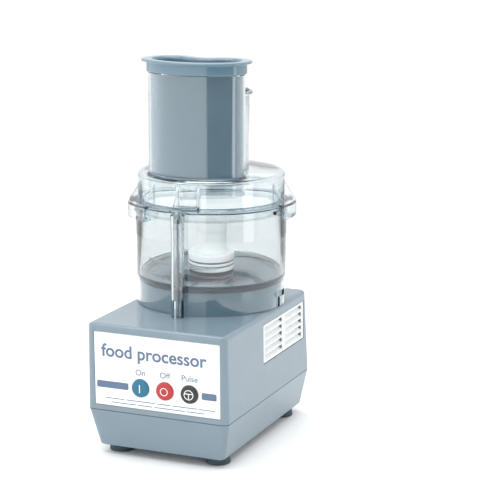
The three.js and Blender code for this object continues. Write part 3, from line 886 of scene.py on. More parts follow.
@dataclass
class Casing:
    """Upper housing and base pan."""

    places: Places
    panel: Panel
    wall: float = 3
    edge: float = 5
    sole_edge: float = 2
    corner: float = 8
    rear: Point = (139, 128)  # at the split and at the deck
    deck_half: float = 94.5
    pan_sole: Point3 = (86, -135, 136)  # half width, front and rear
    pan_rim: Point3 = (96.2, -145.9, 139)
    pan_gap: float = 0.9
    label: Point3 = (172.0, 95.5, 2.0)
    label_x: float = 1
    holes: Point3 = (-21, 12.4, 45.9)
    hole_z: float = 96.4
    hole_r: float = 11.8
    shaft_r: float = 12
    screw_r: float = 2.4
    gland_r: float = 7.4
    slot: Point3 = (70, 5, 12)
    vent: Outline = (46, 134.5, 144.0, 51.8)

    def shell(self, name: str, low: Outline, high: Outline, closed_top: bool, round_edge: float) -> Piece:
        """Makes one tapered, hollow half of the casing.

        Args:
            name: the piece's name.
            low: half width, front, rear and height of the lower outline.
            high: the same for the upper outline.
            closed_top: True for the upper half, False for the pan.
            round_edge: rounding of the closed end's edge.

        Returns:
            The shell.
        """
        width, front, rear, z0 = low
        top_width, top_front, top_rear, z1 = high
        piece = block(name, (0, (front + rear) / 2, (z0 + z1) / 2), (2 * width, rear - front, z1 - z0))
        pick(piece, "FACE", lambda c, n: c.z > (z0 + z1) / 2 * MM and n.z > 0.5)
        bpy.ops.transform.resize(value=(top_width / width, (top_rear - top_front) / (rear - front), 1))
        bpy.ops.transform.translate(value=scaled((0, (top_front + top_rear - front - rear) / 2, 0)))
        pick(piece, "EDGE", lambda a, b: abs(a.z - b.z) > 0.5 * (z1 - z0) * MM)
        bpy.ops.mesh.bevel(offset=self.corner * MM, segments=8, affect="EDGES")
        end = (z1 if closed_top else z0) * MM
        pick(piece, "EDGE", lambda a, b: abs(a.z - end) < NEAR and abs(b.z - end) < NEAR)
        bpy.ops.mesh.bevel(offset=round_edge * MM, segments=6, affect="EDGES")
        open_normal = -1 if closed_top else 1
        pick(piece, "FACE", lambda c, n: n.z * open_normal > 0.9)
        bpy.ops.mesh.delete(type="FACE")
        activate(piece)
        thick = piece.modifiers.new("wall", "SOLIDIFY")
        thick.thickness = self.wall * MM
        thick.offset = -1
        bpy.ops.object.modifier_apply(modifier=thick.name)
        return tidy(piece)

    def button_holes(self, length: float) -> list[Piece]:
        """Returns a cutter for each button, drawn flat around the panel's middle."""
        return [bar((x, self.hole_z - self.panel.middle, 0), self.hole_r, length, steps=64)
                for x in self.holes]

    def upper(self) -> Piece:
        """Makes the upper housing with its label recess, button holes, vents and shaft hole.

        Returns:
            The housing.
        """
        deck, split, half = self.places.deck, self.places.split, self.places.half_width
        body = self.shell("housing", (half, self.panel.foot_front, self.rear[0], split),
                          (self.deck_half, self.panel.deck_front, self.rear[1], deck), True, self.edge)
        width, height, depth = self.label
        recess = block("recess", (self.label_x, 0, 0), (width, height, 2 * depth), 0.4, 2)
        cuts = [self.panel.stand(cutter) for cutter in (recess, *self.button_holes(length=30))]
        y, z, length, height = self.vent
        cuts += [block("vent", (side * half, y, z), (40, length, height)) for side in (1, -1)]
        cuts.append(bar((*self.places.axis, deck), self.shaft_r, length=20, steps=64))
        return combine(body, cuts, "DIFFERENCE")

    def pan(self) -> Piece:
        """Makes the base pan with its air slots, screw holes and cord inlet.

        Returns:
            The pan.
        """
        low = span("lower_base")[0].z
        body = self.shell("base_pan", (*self.pan_sole, low), (*self.pan_rim, self.places.split - self.pan_gap),
                          False, self.sole_edge)
        x, y = self.places.axis
        cuts = [block("slot", (x, y + 12 * i, low), self.slot, 2.4, 3) for i in range(-3, 4)]
        for name in CORNERS:
            middle = sum(span("foot_screw_" + name), Vector()) / 2
            cuts.append(bar((middle.x, middle.y, low), self.screw_r, length=20, steps=24))
        inlet = sum(span("cord_gland"), Vector()) / 2
        cuts.append(bar(inlet, self.gland_r, length=40, steps=32, turn=(math.pi / 2, 0, 0)))
        return combine(body, cuts, "DIFFERENCE")

    def build(self) -> None:
        """Builds both halves."""
        dress(self.upper(), PALETTE.housing, "base", ["upper_housing"])
        dress(self.pan(), PALETTE.housing, "base", ["lower_base"])


@dataclass
class Label:
    """The white front plate, its plain generic print and the three buttons."""

    panel: Panel
    casing: Casing
    thickness: float = 0.9
    gap: float = 0.6
    print_height: float = 0.12
    button_r: float = 11.5
    dome: float = 2.9
    mark_out: float = 2.88

    def print_block(self, x: float, z: float, width: float, height: float, radius: float) -> Piece:
        """Makes one printed bar with round corners, drawn flat around the panel's middle.

        Args:
            x: the bar's middle, to the right.
            z: its middle's height.
            width: its width.
            height: its height.
            radius: the radius of its corners.

        Returns:
            The closed piece.
        """
        corners = [(x + sx * (width / 2 - radius), z - self.panel.middle + sy * (height / 2 - radius), start)
                   for sx, sy, start in ((1, 1, 0), (-1, 1, 90), (-1, -1, 180), (1, -1, 270))]
        outline = [(px, py, 0.0) for cx, cy, start in corners
                   for px, py in arc((cx, cy), radius, start, start + 90, 5)]
        return solid("print", outline, (0, 0, self.print_height))

    def word(self, text: str, x: float, z: float, size: float, bold: float) -> Piece:
        """Makes a printed word, centred, in the plain built-in typeface.

        Args:
            text: the word.
            x: its middle, to the right.
            z: its middle's height.
            size: the size of its letters.
            bold: how much thicker its strokes are, as a share of the size.

        Returns:
            The closed piece.
        """
        deselect()
        bpy.ops.object.text_add(location=scaled((x, z - self.panel.middle, 0)))
        letters = bpy.context.object.data
        letters.body = text
        letters.size = size * MM
        letters.offset = bold * size * MM
        letters.align_x = letters.align_y = "CENTER"
        letters.extrude = self.print_height * MM / 2
        bpy.ops.object.convert(target="MESH")
        apply()
        return bpy.context.object

    def plate(self) -> Piece:
        """Makes the plate with its three holes.

        Returns:
            The plate.
        """
        width, height, _ = self.casing.label
        body = block("label_plate", (self.casing.label_x, 0, -self.thickness / 2),
                     (width - self.gap, height - self.gap, self.thickness), 0.25, 2)
        cut = combine(body, self.casing.button_holes(length=10), "DIFFERENCE")
        return self.panel.stand(cut, -self.panel.label_depth)

    def prints(self) -> Piece:
        """Makes all that is printed: a generic title, the button names and plain bars.

        Returns:
            The print, as one piece.
        """
        pieces = [self.word("food processor", -3, 140, 23, 0.024)]
        pieces += [self.word(text, x, 116, 10.8, 0.012)
                   for text, x in zip(("On", "Off", "Pulse"), self.casing.holes)]
        pieces.append(self.print_block(-60, 96, 44, 9, 2))
        pieces.append(self.print_block(72, 96, 20, 9, 2))
        for x, z, widths in ((-70.0, 78.5, (26, 40, 18, 34, 22)), (-62.0, 73.5, (34, 20, 42, 24))):
            for width in widths:
                pieces.append(self.print_block(x + width / 2, z, width, 1.1, 0.5))
                x += width + 2.5
        return self.panel.stand(merge("label_print", pieces), -self.panel.label_depth)

    def button(self) -> Piece:
        """Makes one domed button, with its flange and stem behind the panel.

        Returns:
            The button, drawn flat around the origin.
        """
        rim, dome = self.button_r, self.dome
        face = [(0.0, dome), (6.0, dome - 0.12), (9.4, dome - 0.5)]
        edge = arc((rim - 1.4, dome - 2.0), 1.4, 70, 0, 5)
        body = [(rim, -3.4), (13.5, -3.4), (13.5, -5.4), (4, -5.4), (4, -13.8), (0, -14)]
        return lathe("button", face + edge + body, (0, 0), 72, closed=False, smooth=40)

    def symbol(self, mark: ButtonMark, x: float) -> Piece:
        """Makes a button's white mark: a bar, a ring, or a ring with a T in it.

        Args:
            mark: which button it is.
            x: the button's middle, to the right.

        Returns:
            The mark.
        """
        z = self.casing.hole_z
        if mark is ButtonMark.BAR:
            pieces = [self.print_block(x, z, 1.1, 10.5, 0.4)]
        else:
            outer = 5.2 if mark is ButtonMark.RING else 6.4
            profile = [(outer - 0.9, 0.0), (outer, 0.0), (outer, 0.06), (outer - 0.9, 0.06)]
            pieces = [lathe("ring", profile, (x, z - self.panel.middle), 64)]
        if mark is ButtonMark.PULSE:
            pieces.append(self.print_block(x, z + 1.4, 10.4, 1.0, 0.3))
            pieces.append(self.print_block(x, z - 2.0, 1.0, 6.2, 0.3))
        return self.panel.stand(merge(mark.value + "_mark", pieces), self.mark_out)

    def build(self) -> None:
        """Builds the plate, the print and the buttons."""
        dress(self.plate(), PALETTE.label, "base", ["front_label"])
        dress(self.prints(), PALETTE.ink, "base")
        finishes = {ButtonMark.BAR: (PALETTE.on_button, "teal_plastic"),
                    ButtonMark.RING: (PALETTE.off_button, "red_plastic"),
                    ButtonMark.PULSE: (PALETTE.pulse_button, "slate_plastic")}
        pattern = self.button()
        for mark, x in zip(ButtonMark, self.casing.holes):
            finish, slot = finishes[mark]
            body = mark.value + "_button"
            place = Matrix.Translation(scaled((x, self.casing.hole_z - self.panel.middle, 0)))
            cap = self.panel.stand(copied(pattern, body + "_cap", place))
            dress(cap, finish, body, [body])
            dress(self.symbol(mark, x), PALETTE.button_ink, body)
        bpy.data.objects.remove(pattern)


@dataclass
class Undercarriage:
    """The four rubber feet."""

    radius: float = 16
    height: float = 11.7

    def build(self) -> None:
        """Builds one foot and copies it to where each CAD foot stands."""
        side = arc((self.radius - 1.6, 1.6), 1.6, -90, 10, 6) + [(15.2, 8), (14.5, self.height)]
        well = [(2.4, 4), (4.7, 4), (5, 3.7), (5, 0.6), (5.6, 0)]  # round the screw's head
        profile = [*well, *side, (2.4, self.height)]
        pattern = lathe("foot", profile, (0, 0), 64)
        for name in CORNERS:
            middle = sum(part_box("foot_" + name), Vector()) / 2
            foot = copied(pattern, "rubber_foot_" + name, Matrix.Translation((middle.x, middle.y, 0)))
            dress(foot, PALETTE.foot, "base", ["foot_" + name])
        bpy.data.objects.remove(pattern)


@dataclass
class Seat:
    """The raised round seat that the bowl stands on, moulded like the housing."""

    places: Places
    outer: float = 92.6
    bore: float = 12.5
    top: float = 204.8
    pin_r: float = 3.7
    ring: Point = (86, 94.5)

    def build(self) -> None:
        """Builds the seat and the rubber ring that the bowl stands on."""
        foot = self.places.deck + 0.3
        shoulder = arc((self.outer - 2, self.top - 2), 2, 0, 90, 6)
        profile = [(self.bore, foot), (self.outer, foot), *shoulder, (self.bore + 1, self.top),
                   (self.bore, self.top - 1)]
        seat = lathe("moulded_seat", profile, self.places.axis, 128)
        cuts = []
        for name in ("bayonet_pin_right", "bayonet_pin_left"):
            middle = sum(span(name), Vector()) / 2
            outward = middle - Vector((*self.places.axis, middle.z))
            turn = outward.to_track_quat("Z", "Y").to_euler()
            cuts.append(bar(middle, self.pin_r, length=60, steps=32, turn=turn))
        # The seat wears the housing's plastic lightened: a painted light.
        dress(combine(seat, cuts, "DIFFERENCE"), PALETTE.seat, "base", ["bowl_seat"])
        # The ring's lip stands up round the bowl's foot, and its blue-black colour draws the dark line there:
        # a painted shade on a real gasket.
        low, high, (r0, r1) = self.top + 0.2, self.top + 3.7, self.ring
        lip, lip_top = r1 - 3.6, self.top + 5.6
        ring = [(r0, low + 0.4), (r0 + 0.4, low), (r1 - 0.6, low), (r1, low + 0.6), (r1, lip_top - 0.4),
                (r1 - 0.4, lip_top), (lip + 0.4, lip_top), (lip, lip_top - 0.4), (lip, high),
                (r0 + 0.4, high), (r0, high - 0.4)]
        gasket = lathe("bowl_ring_gasket", ring, self.places.axis, 96)
        dress(gasket, PALETTE.seal, "gasket", ["bowl_gasket"])


# ------------------------------------------------------------------ bowl
def wedge(name: str, centre: Point, radii: Point, angles: Point, heights: Point,
          bevel: float = 0.0) -> Piece:
    """Makes a block curved about an upright axis, with its edges rounded.

    Args:
        name: the piece's name.
        centre: the axis.
        radii: its inner and outer radius.
        angles: where it starts and ends, from the front towards the right.
        heights: its foot and top.
        bevel: the rounding's size.

    Returns:
        The closed piece.
    """
    (r0, r1), (a0, a1), (z0, z1) = radii, angles, heights
    steps = max(3, round((a1 - a0) / 2))
    piece = lathe(name, [(r0, z0), (r1, z0), (r1, z1), (r0, z1)], centre, steps, a0, a1 - a0)
    if bevel:
        activate(piece)
        step = piece.modifiers.new("edge", "BEVEL")
        step.width = bevel * MM
        step.segments = 2
        step.limit_method = "ANGLE"
        step.angle_limit = math.radians(40)
        bpy.ops.object.modifier_apply(modifier=step.name)
    return piece


def column(name: str, centre: Point, radius: float, heights: Point, edge: float = 0.0,
           steps: int = 48) -> Piece:
    """Makes an upright round bar with rounded ends.

    Args:
        name: the piece's name.
        centre: its axis.
        radius: its radius.
        heights: its foot and top.
        edge: the radius of its ends' edges.
        steps: how many sides it has.

    Returns:
        The closed piece.
    """
    z0, z1 = heights
    side = [(radius, z0), (radius, z1)]
    if edge:
        side = [*arc((radius - edge, z0 + edge), edge, -90, 0, 4),
                *arc((radius - edge, z1 - edge), edge, 0, 90, 4)]
    return lathe(name, [(0, z0), *side, (0, z1)], centre, steps, closed=False)


@dataclass
class Bowl:
    """The clear bowl with its rod channel, bayonet slots and lid ramps, and the rod in it."""

    places: Places
    inner: float = 94.8
    outer: float = 98.2
    skirt: float = 97.4
    floor: float = 211
    floor_wall: float = 2.3
    groove_top: float = 210.6
    fillet: float = 3.2
    chimney: Point3 = (8.5, 11, 236)
    pins: Point = (86.5, 266.5)
    tabs: Point3 = TABS
    slot_z: float = 191
    spring_seat: float = 197
    ramp: Point = (298.6, 303)
    channel_r: float = 8.3
    socket_r: float = 9
    socket_foot: float = 288
    bore_r: float = 6
    guide_r: float = 3
    coil: Point3 = (0.5, 3.9, 11.8)  # wire radius, coil radius and height
    coil_turns: int = 5

    def wall(self) -> Piece:
        """Turns the bowl itself.

        Returns:
            The bowl, without its channel and slots.
        """
        foot, top = self.places.bowl_foot, self.places.bowl_top
        under = self.floor - self.floor_wall
        bore, stem, stem_top = self.chimney
        outside = [(self.skirt - 0.6, foot), (self.skirt, foot + 0.6), (self.outer, top - 10),
                   *arc((self.outer - 1, top - 1), 1, 0, 90, 3)]
        lip = arc((self.inner + 1, top - 1), 1, 90, 180, 3)
        inside = arc((self.inner - self.fillet, self.floor + self.fillet), self.fillet, 0, -90, 8)
        stalk = [(stem + 2, self.floor), (stem + 0.6, self.floor + 0.6), (stem, self.floor + 2),
                 *arc((stem - 0.8, stem_top - 0.8), 0.8, 0, 90, 3), (bore + 0.4, stem_top),
                 (bore, stem_top - 0.4), (bore, under)]
        groove = self.inner - 4.2
        below = [(groove, under), (groove, self.groove_top), (self.inner, self.groove_top),
                 (self.inner, foot)]
        return lathe("clear_bowl", [*outside, *lip, *inside, *stalk, *below], self.places.axis, 144)

    def build(self) -> None:
        """Builds the bowl, the rod and its spring."""
        foot, top = self.places.bowl_foot, self.places.bowl_top
        rod, axis = self.places.rod, self.places.axis
        adds = [wedge("ramp", axis, (self.outer - 2, 103), (c - 13, c - 2), self.ramp, 0.6) for c in self.tabs]
        adds.append(column("channel", rod, self.channel_r, (foot, self.socket_foot + 1), 0.5))
        adds.append(column("socket", rod, self.socket_r, (self.socket_foot, top), 0.8))
        adds.append(block("web", (rod[0], rod[1] + 7.4, (foot + top) / 2), (8, 5, top - foot - 0.4)))
        body = combine(self.wall(), adds, "UNION")
        cuts = [column("bore", rod, self.bore_r, (self.spring_seat, top + 8)),
                column("guide", rod, self.guide_r, (foot - 5, self.spring_seat + 2))]
        for pin in self.pins:
            wide, tall = (self.inner - 3, self.outer + 3), (self.slot_z - 4, self.slot_z + 4)
            cuts.append(wedge("slot", axis, wide, (pin - 2.6, pin + 13.5), tall, 1.2))
            cuts.append(wedge("entry", axis, wide, (pin - 2.6, pin + 2.6), (foot - 2, self.slot_z)))
        dress(combine(body, cuts, "DIFFERENCE"), PALETTE.bowl, "bowl", ["bowl"])
        self.safety_rod()
        self.spring()

    def safety_rod(self) -> None:
        """Turns the steel rod with its magnet tip, spring disc and domed head."""
        (_, _, tip), (_, _, head) = span("safety_rod")
        disc = self.spring_seat + 13.6
        profile = [(0, tip), (2.2, tip), (2.6, tip + 0.4), (2.6, tip + 7.6), (2.2, tip + 8), (1.4, tip + 8),
                   (1.4, disc), (5.2, disc), (5.5, disc + 0.3), (5.5, disc + 2.2), (5.2, disc + 2.5),
                   (1.4, disc + 2.5), (1.4, 296), (5.0, 296), (5.4, 296.4), (5.4, 301.6), (5.0, 302.2),
                   (3, 303), *arc((0, head - 3), 3, 0, 88, 7), (0, head)]
        rod = lathe("steel_safety_rod", profile, self.places.rod, 32, closed=False)
        dress(rod, PALETTE.rod_steel, "rod", ["safety_rod"])

    def spring(self) -> None:
        """Winds the rod's spring: a round section swept up a helix, one short lift and turn at a time."""
        wire, radius, rise = self.coil
        low = self.spring_seat + wire + 0.4
        x, y = self.places.rod
        deselect()
        bpy.ops.mesh.primitive_circle_add(vertices=10, radius=wire * MM, location=scaled((x + radius, y, low)),
                                          rotation=(math.pi / 2, 0, 0))
        piece = bpy.context.object
        piece.name = "rod_coil_spring"
        apply()
        bpy.ops.object.mode_set(mode="EDIT")
        bpy.ops.mesh.select_all(action="SELECT")
        bpy.ops.mesh.edge_face_add()
        bpy.ops.mesh.select_mode(type="EDGE")
        bpy.ops.mesh.select_all(action="DESELECT")
        bpy.ops.object.mode_set(mode="OBJECT")
        settle(piece, Matrix.Identity(4))
        self.wind(piece, (x, y), rise, self.coil_turns)
        dress(piece, PALETTE.rod_steel, "bowl", ["rod_spring"])
        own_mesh(piece)

    def wind(self, piece: Piece, centre: Point, rise: float, turns: int) -> None:
        """Sweeps the section up a helix: short spins, each followed by a small lift.

        Args:
            piece: the object that holds the filled round section.
            centre: the coil's axis.
            rise: the coil's height.
            turns: how many turns it has.
        """
        steps = 24 * turns
        activate(piece)
        bpy.ops.object.mode_set(mode="EDIT")
        bpy.ops.mesh.select_mode(type="FACE")
        bpy.ops.mesh.select_all(action="SELECT")
        for _ in range(steps):
            bpy.ops.mesh.extrude_region_move(TRANSFORM_OT_translate={"value": scaled((0, 0, rise / steps))})
            bpy.ops.transform.rotate(value=-math.radians(360 * turns / steps), orient_axis="Z",
                                     center_override=scaled((*centre, 0)))
        tidy(piece, 60)


# ------------------------------------------------------------------ blade
def bezier(a: Point, b: Point, c: Point, d: Point, steps: int) -> list[Point]:
    """Finds points of a cubic curve.

    Args:
        a: its start.
        b: the first handle.
        c: the second handle.
        d: its end.
        steps: how many points are found.

    Returns:
        The points, without the last one.
    """
    found = []
    for i in range(steps):
        t = i / steps
        share = ((1 - t) ** 3, 3 * t * (1 - t) ** 2, 3 * t * t * (1 - t), t ** 3)
        found.append(tuple(sum(s * p[k] for s, p in zip(share, (a, b, c, d))) for k in (0, 1)))
    return found


@dataclass
class SBlade:
    """The white hub with its cap and the two crescent knives."""

    places: Places
    bore: float = 11.8
    ring: float = 30.7
    neck: float = 26.5
    column_r: float = 20.6
    thickness: float = 1.6
    ground: Point3 = (0.96, 0.93, 1)  # how much smaller a knife's top face is, for its ground edge
    ground_about: Point3 = (-27, -8, 0)

    def hub(self) -> Piece:
        """Turns the hub: foot ring, neck for the knives, upper ring and column.

        Returns:
            The hub.
        """
        r, c = self.ring, self.column_r
        foot = [(self.bore, 214.6), (self.bore + 0.4, 214.2), *arc((r - 0.6, 214.8), 0.6, -90, 0, 3),
                *arc((r - 0.4, 218.8), 0.4, 0, 90, 3), (self.neck, 219.2)]
        spacer = [(self.neck, 221.5), *arc((r - 0.4, 221.9), 0.4, -90, 0, 3),
                  *arc((r - 0.4, 223.7), 0.4, 0, 90, 3), (self.neck, 224.1)]
        upper = [(self.neck, 226.4), *arc((r - 0.8, 227.2), 0.8, -90, 0, 3),
                 *arc((r - 1.6, 233.4), 1.6, 0, 90, 5)]
        stem = [*arc((c + 1.6, 236.6), 1.6, 270, 180, 4), (c, 261.7), (self.bore, 261.7)]
        return lathe("blade_hub_moulding", [*foot, *spacer, *upper, *stem], self.places.axis, 96)

    def cap(self) -> Piece:
        """Turns the cap, whose flat top is a little sunk.

        Returns:
            The cap.
        """
        c = self.column_r
        profile = [(0, 262), (c, 262), *arc((c - 1.3, 272.7), 1.3, 0, 110, 6), (c - 2.6, 273.2), (0, 273)]
        return lathe("blade_hub_cap", profile, self.places.axis, 96, closed=False)

    def knife(self) -> Piece:
        """Makes one knife: a clamping ring and a crescent with ground edges.

        Returns:
            The knife, drawn around the origin.
        """
        root, tip, heel = (27.5, 6), (-88, -14), (-27.5, -6)
        outline = bezier(root, (34, -44), (-30, -62), tip, 40)
        outline += bezier(tip, (-48, -34), (-24, -30), heel, 24)
        outline += bezier(heel, (-20, -40), (24, -30), root, 12)
        blade = solid("knife", [(x, y, 0.0) for x, y in outline], (0, 0, self.thickness))
        pick(blade, "FACE", lambda c, n: n.z > 0.9)
        bpy.ops.transform.resize(value=self.ground, center_override=scaled(self.ground_about))
        tidy(blade, 20)
        inner, outer = self.neck + 0.3, self.ring - 0.6
        combine(blade, [column("neck", (0, 0), inner, (-2, 4), steps=96)], "DIFFERENCE")
        ring = [(inner, 0), (outer, 0), (outer, self.thickness), (inner, self.thickness)]
        return combine(blade, [lathe("ring", ring, (0, 0), 96)], "UNION")

    def build(self) -> list[Piece]:
        """Builds the hub, the cap, the wear bush and both knives.

        Returns:
            The pieces that show in the bowl.
        """
        seen = [dress(self.hub(), PALETTE.acetal, "blade", ["blade_hub"]),
                dress(self.cap(), PALETTE.acetal, "blade", ["blade_cap"])]
        # The dark wear bush fills the gap under the hub: a real part, whose darkness also stands in for the
        # shade in that gap, a painted shade.
        bore, edge = self.bore + 2, self.ring - 0.9
        under = [(bore, 211.5), (edge - 0.4, 211.5), (edge, 211.9), (edge, 213.9), (bore, 213.9)]
        bush = lathe("blade_wear_bush", under, self.places.axis, 96)
        dress(bush, PALETTE.dark_nylon, "blade", ["blade_wear_ring"])
        pattern = self.knife()
        for name, turn in (("lower_knife", 0), ("upper_knife", math.pi)):
            place = Matrix.Translation(scaled((*self.places.axis, span(name)[0].z)))
            knife = copied(pattern, name.replace("_", "_steel_"), place @ Matrix.Rotation(turn, 4, "Z"))
            seen.append(dress(knife, PALETTE.steel, "blade", [name]))
        bpy.data.objects.remove(pattern)
        return seen


# ------------------------------------------------------------------ lid and pushers
@dataclass
class Lid:
    """The clear lid with its hopper, feed tube, locking tabs and cam, and its seal."""

    places: Places
    kidney: Kidney
    radius: float = 95.5
    wall: float = 2.8
    top: float = 347
    flange: float = 106.5
    flange_z: float = 308.4
    tab: float = 112
    tabs: Point3 = TABS
    cam: Point = (-3, 15)
    cam_foot: float = 308
    hopper: Point = (25, 27.5)
    tube: Point3 = (27.6, 30, 444)
    rod_travel: float = 4

    def dome(self) -> Piece:
        """Turns the round roof, wall, flange and inner skirt.

        Returns:
            The lid, without its tabs, hopper and tube.
        """
        r, inner = self.radius, self.radius - self.wall
        roof = [(0, self.top - 3.2), *arc((inner - 3, self.top - 6.2), 3, 90, 0, 4)]
        skirt = [(inner, 312.5), (89.6, 309.5), *arc((90.3, 294.7), 0.7, 180, 270, 3),
                 *arc((91.3, 294.7), 0.7, -90, 0, 3), (92, self.flange_z)]
        rim = [*arc((self.flange - 0.8, self.flange_z + 0.8), 0.8, -90, 0, 3),
               *arc((self.flange - 0.8, self.flange_z + 1.8), 0.8, 0, 90, 3), (r + 1.2, self.flange_z + 2.6),
               *arc((r + 1.2, self.flange_z + 3.8), 1.2, 270, 180, 3)]
        shoulder = arc((r - 5, self.top - 5), 5, 0, 90, 8)
        return lathe("clear_lid", [*roof, *skirt, *rim, *shoulder, (0, self.top)], self.places.axis, 144,
                     closed=False)

    def gusset(self, angle: float, reach: float) -> Piece:
        """Makes a triangular rib that stands on the flange.

        Args:
            angle: where it stands, from the front towards the right.
            reach: the radius that it reaches from the wall.

        Returns:
            The rib.
        """
        z = self.flange_z + 1
        side = [(self.radius - 1, z), (reach, z), (reach, z + 2), (self.radius - 1, self.top - 8)]
        points = [around(self.places.axis, r, angle, h) for r, h in side]
        across = Vector(around((0, 0), 1, angle + 90, 0))
        shifted = [tuple(Vector(p) - across) for p in points]
        return solid("rib", shifted, tuple(across * 2))

    def tab_pieces(self, c: float) -> list[Piece]:
        """Makes one locking tab: roof, hanging wall, hook and two ribs.

        Args:
            c: the tab's middle, from the front towards the right.

        Returns:
            The five pieces.
        """
        axis, z, foot, wide = self.places.axis, self.flange_z, 292, (c - 11.5, c + 11.5)
        return [wedge("roof", axis, (self.flange - 4, self.tab), wide, (z, z + 3), 0.7),
                wedge("drop", axis, (self.tab - 3, self.tab), wide, (foot, z + 1), 0.7),
                wedge("hook", axis, (100.5, self.tab - 1), (c + 0.5, c + 11), (foot, foot + 4.8), 0.7),
                self.gusset(c - 11, self.tab), self.gusset(c + 11, self.tab)]

    def relief(self) -> Piece:
        """Makes the cutter for the slot under the cam, level at rest and then sloping down.

        Returns:
            The cutter.
        """
        x, y = self.places.rod
        reach = self.places.axis[1] - y

        def across(degrees: float) -> float:
            """Returns how far to the right an angle from the rod lies."""
            return x + math.radians(degrees) * reach

        low, high = self.flange_z - 2, self.cam_foot + self.rod_travel + 0.1
        outline = [(across(-6), low), (across(12.4), low), (across(12.4), self.cam_foot), (x, high),
                   (across(-6), high)]
        return solid("relief", [(px, y - 6.5, pz) for px, pz in outline], (0, 13, 0))

    def build(self) -> None:
        """Builds the lid and its seal."""
        axis = self.places.axis
        bore, shell = self.hopper
        top = self.places.hopper_top
        tube_in, tube_out, tube_top = self.tube
        adds = [piece for c in self.tabs for piece in self.tab_pieces(c)]
        adds.append(wedge("cam", axis, (self.radius - 1, self.tab + 1.5), self.cam, (self.flange_z, 316), 0.9))
        adds += [self.gusset(self.cam[0] + 1, self.tab + 1), self.gusset(self.cam[1] - 1, self.tab + 1)]
        hopper = [(shell - 0.4, self.top - 22), (shell, self.top - 21.6), (shell, self.top - 3.5),
                  (shell, self.top + 3), (shell, top - 0.8), (shell - 0.8, top), (bore + 0.6, top)]
        adds.append(self.kidney.sweep("hopper", hopper, closed=False, fill=True))
        bead = [(shell - 1, self.top - 2), (shell + 3.2, self.top - 2), (shell + 3.2, self.top + 0.6),
                *arc((shell + 3.2, self.top + 3.6), 2.8, 270, 180, 5), (shell - 1, self.top + 3.6)]
        adds.append(self.kidney.sweep("bead", bead))
        adds.append(column("tube", self.places.tube, tube_out, (self.top - 14, tube_top), 0.6, 96))
        body = combine(self.dome(), adds, "UNION")
        drop = self.top - 30
        cuts = [self.kidney.sweep("hopper_bore", [(bore, drop), (bore, top + 5)], closed=False, fill=True),
                column("tube_bore", self.places.tube, tube_in, (drop, tube_top + 5), 0, 96), self.relief()]
        dress(combine(body, cuts, "DIFFERENCE"), PALETTE.lid, "lid", ["lid"])
        (_, _, low), (_, _, high) = span("lid_seal")
        ring = [(94.8, low + 0.3), (95.1, low), (98.6, low), (99, low + 0.4), (99, high - 0.4), (98.6, high),
                (95.1, high), (94.8, high - 0.3)]
        seal = lathe("lid_ring_seal", ring, axis, 128)
        dress(seal, PALETTE.seal, "seal", ["lid_seal"])


@dataclass
class Pushers:
    """The wide hollow pusher and the small clear one."""

    places: Places
    kidney: Kidney
    plunger: float = 24.5
    wall: float = 2.4
    collar: float = 30
    lip: float = 36.5
    floor: float = 345
    cup: float = 27

    def large(self) -> Piece:
        """Sweeps the wide pusher: plunger, collar, flared lip and the hollow inside.

        Returns:
            The pusher.
        """
        seat, top = self.places.hopper_top + 0.3, self.places.pusher_top
        p, c, lip = self.plunger, self.collar, self.lip
        outside = [(p - 1.2, self.floor), *arc((p - 1.2, self.floor + 1.2), 1.2, -80, 0, 4), (p, seat - 1)]
        step = [(p + 0.4, seat), (c - 1.6, seat), *arc((c - 1.6, seat + 1.6), 1.6, -70, 0, 5), (c, top - 5.5)]
        flare = [*arc((c + 2, top - 5.5), 2, 180, 90, 5), (lip - 1.6, top - 3.5),
                 *arc((lip - 1.75, top - 1.75), 1.75, -70, 90, 8)]
        inside = [(p + 1.4, top), *arc((p + 1.4, top - 3.8), 3.8, 95, 180, 6), (p - self.wall, top - 8),
                  (p - self.wall, self.floor + 5.2), (p - self.wall - 1, self.floor + 4)]
        return self.kidney.sweep("hopper_pusher", [*outside, *step, *flare, *inside], closed=False, fill=True)

    def small(self) -> Piece:
        """Turns the small clear cup with its rolled rim.

        Returns:
            The cup.
        """
        (_, _, low), (_, _, high) = span("small_pusher")
        seat, r = high - 7.7, self.cup
        outside = [(0, low), *arc((r - 1.5, low + 1.5), 1.5, -90, 0, 4), (r, seat - 0.2), (33, seat)]
        rim = [*arc((32.2, seat + 2.3), 2.1, -50, 60, 6), (30.5, high - 1.6), (28, high - 0.3), (26, high)]
        inside = [(24.8, high - 0.8), (24.6, high - 2.5), (24.6, low + 4), (23.6, low + 3), (0, low + 3)]
        return lathe("tube_pusher", [*outside, *rim, *inside], self.places.tube, 96, closed=False)

    def build(self) -> None:
        """Builds both pushers."""
        # The wide pusher wears the housing's plastic darkened: a painted shade.
        dress(self.large(), PALETTE.pusher, "large_pusher", ["large_pusher"])
        dress(self.small(), PALETTE.small_pusher, "small_pusher", ["small_pusher"])


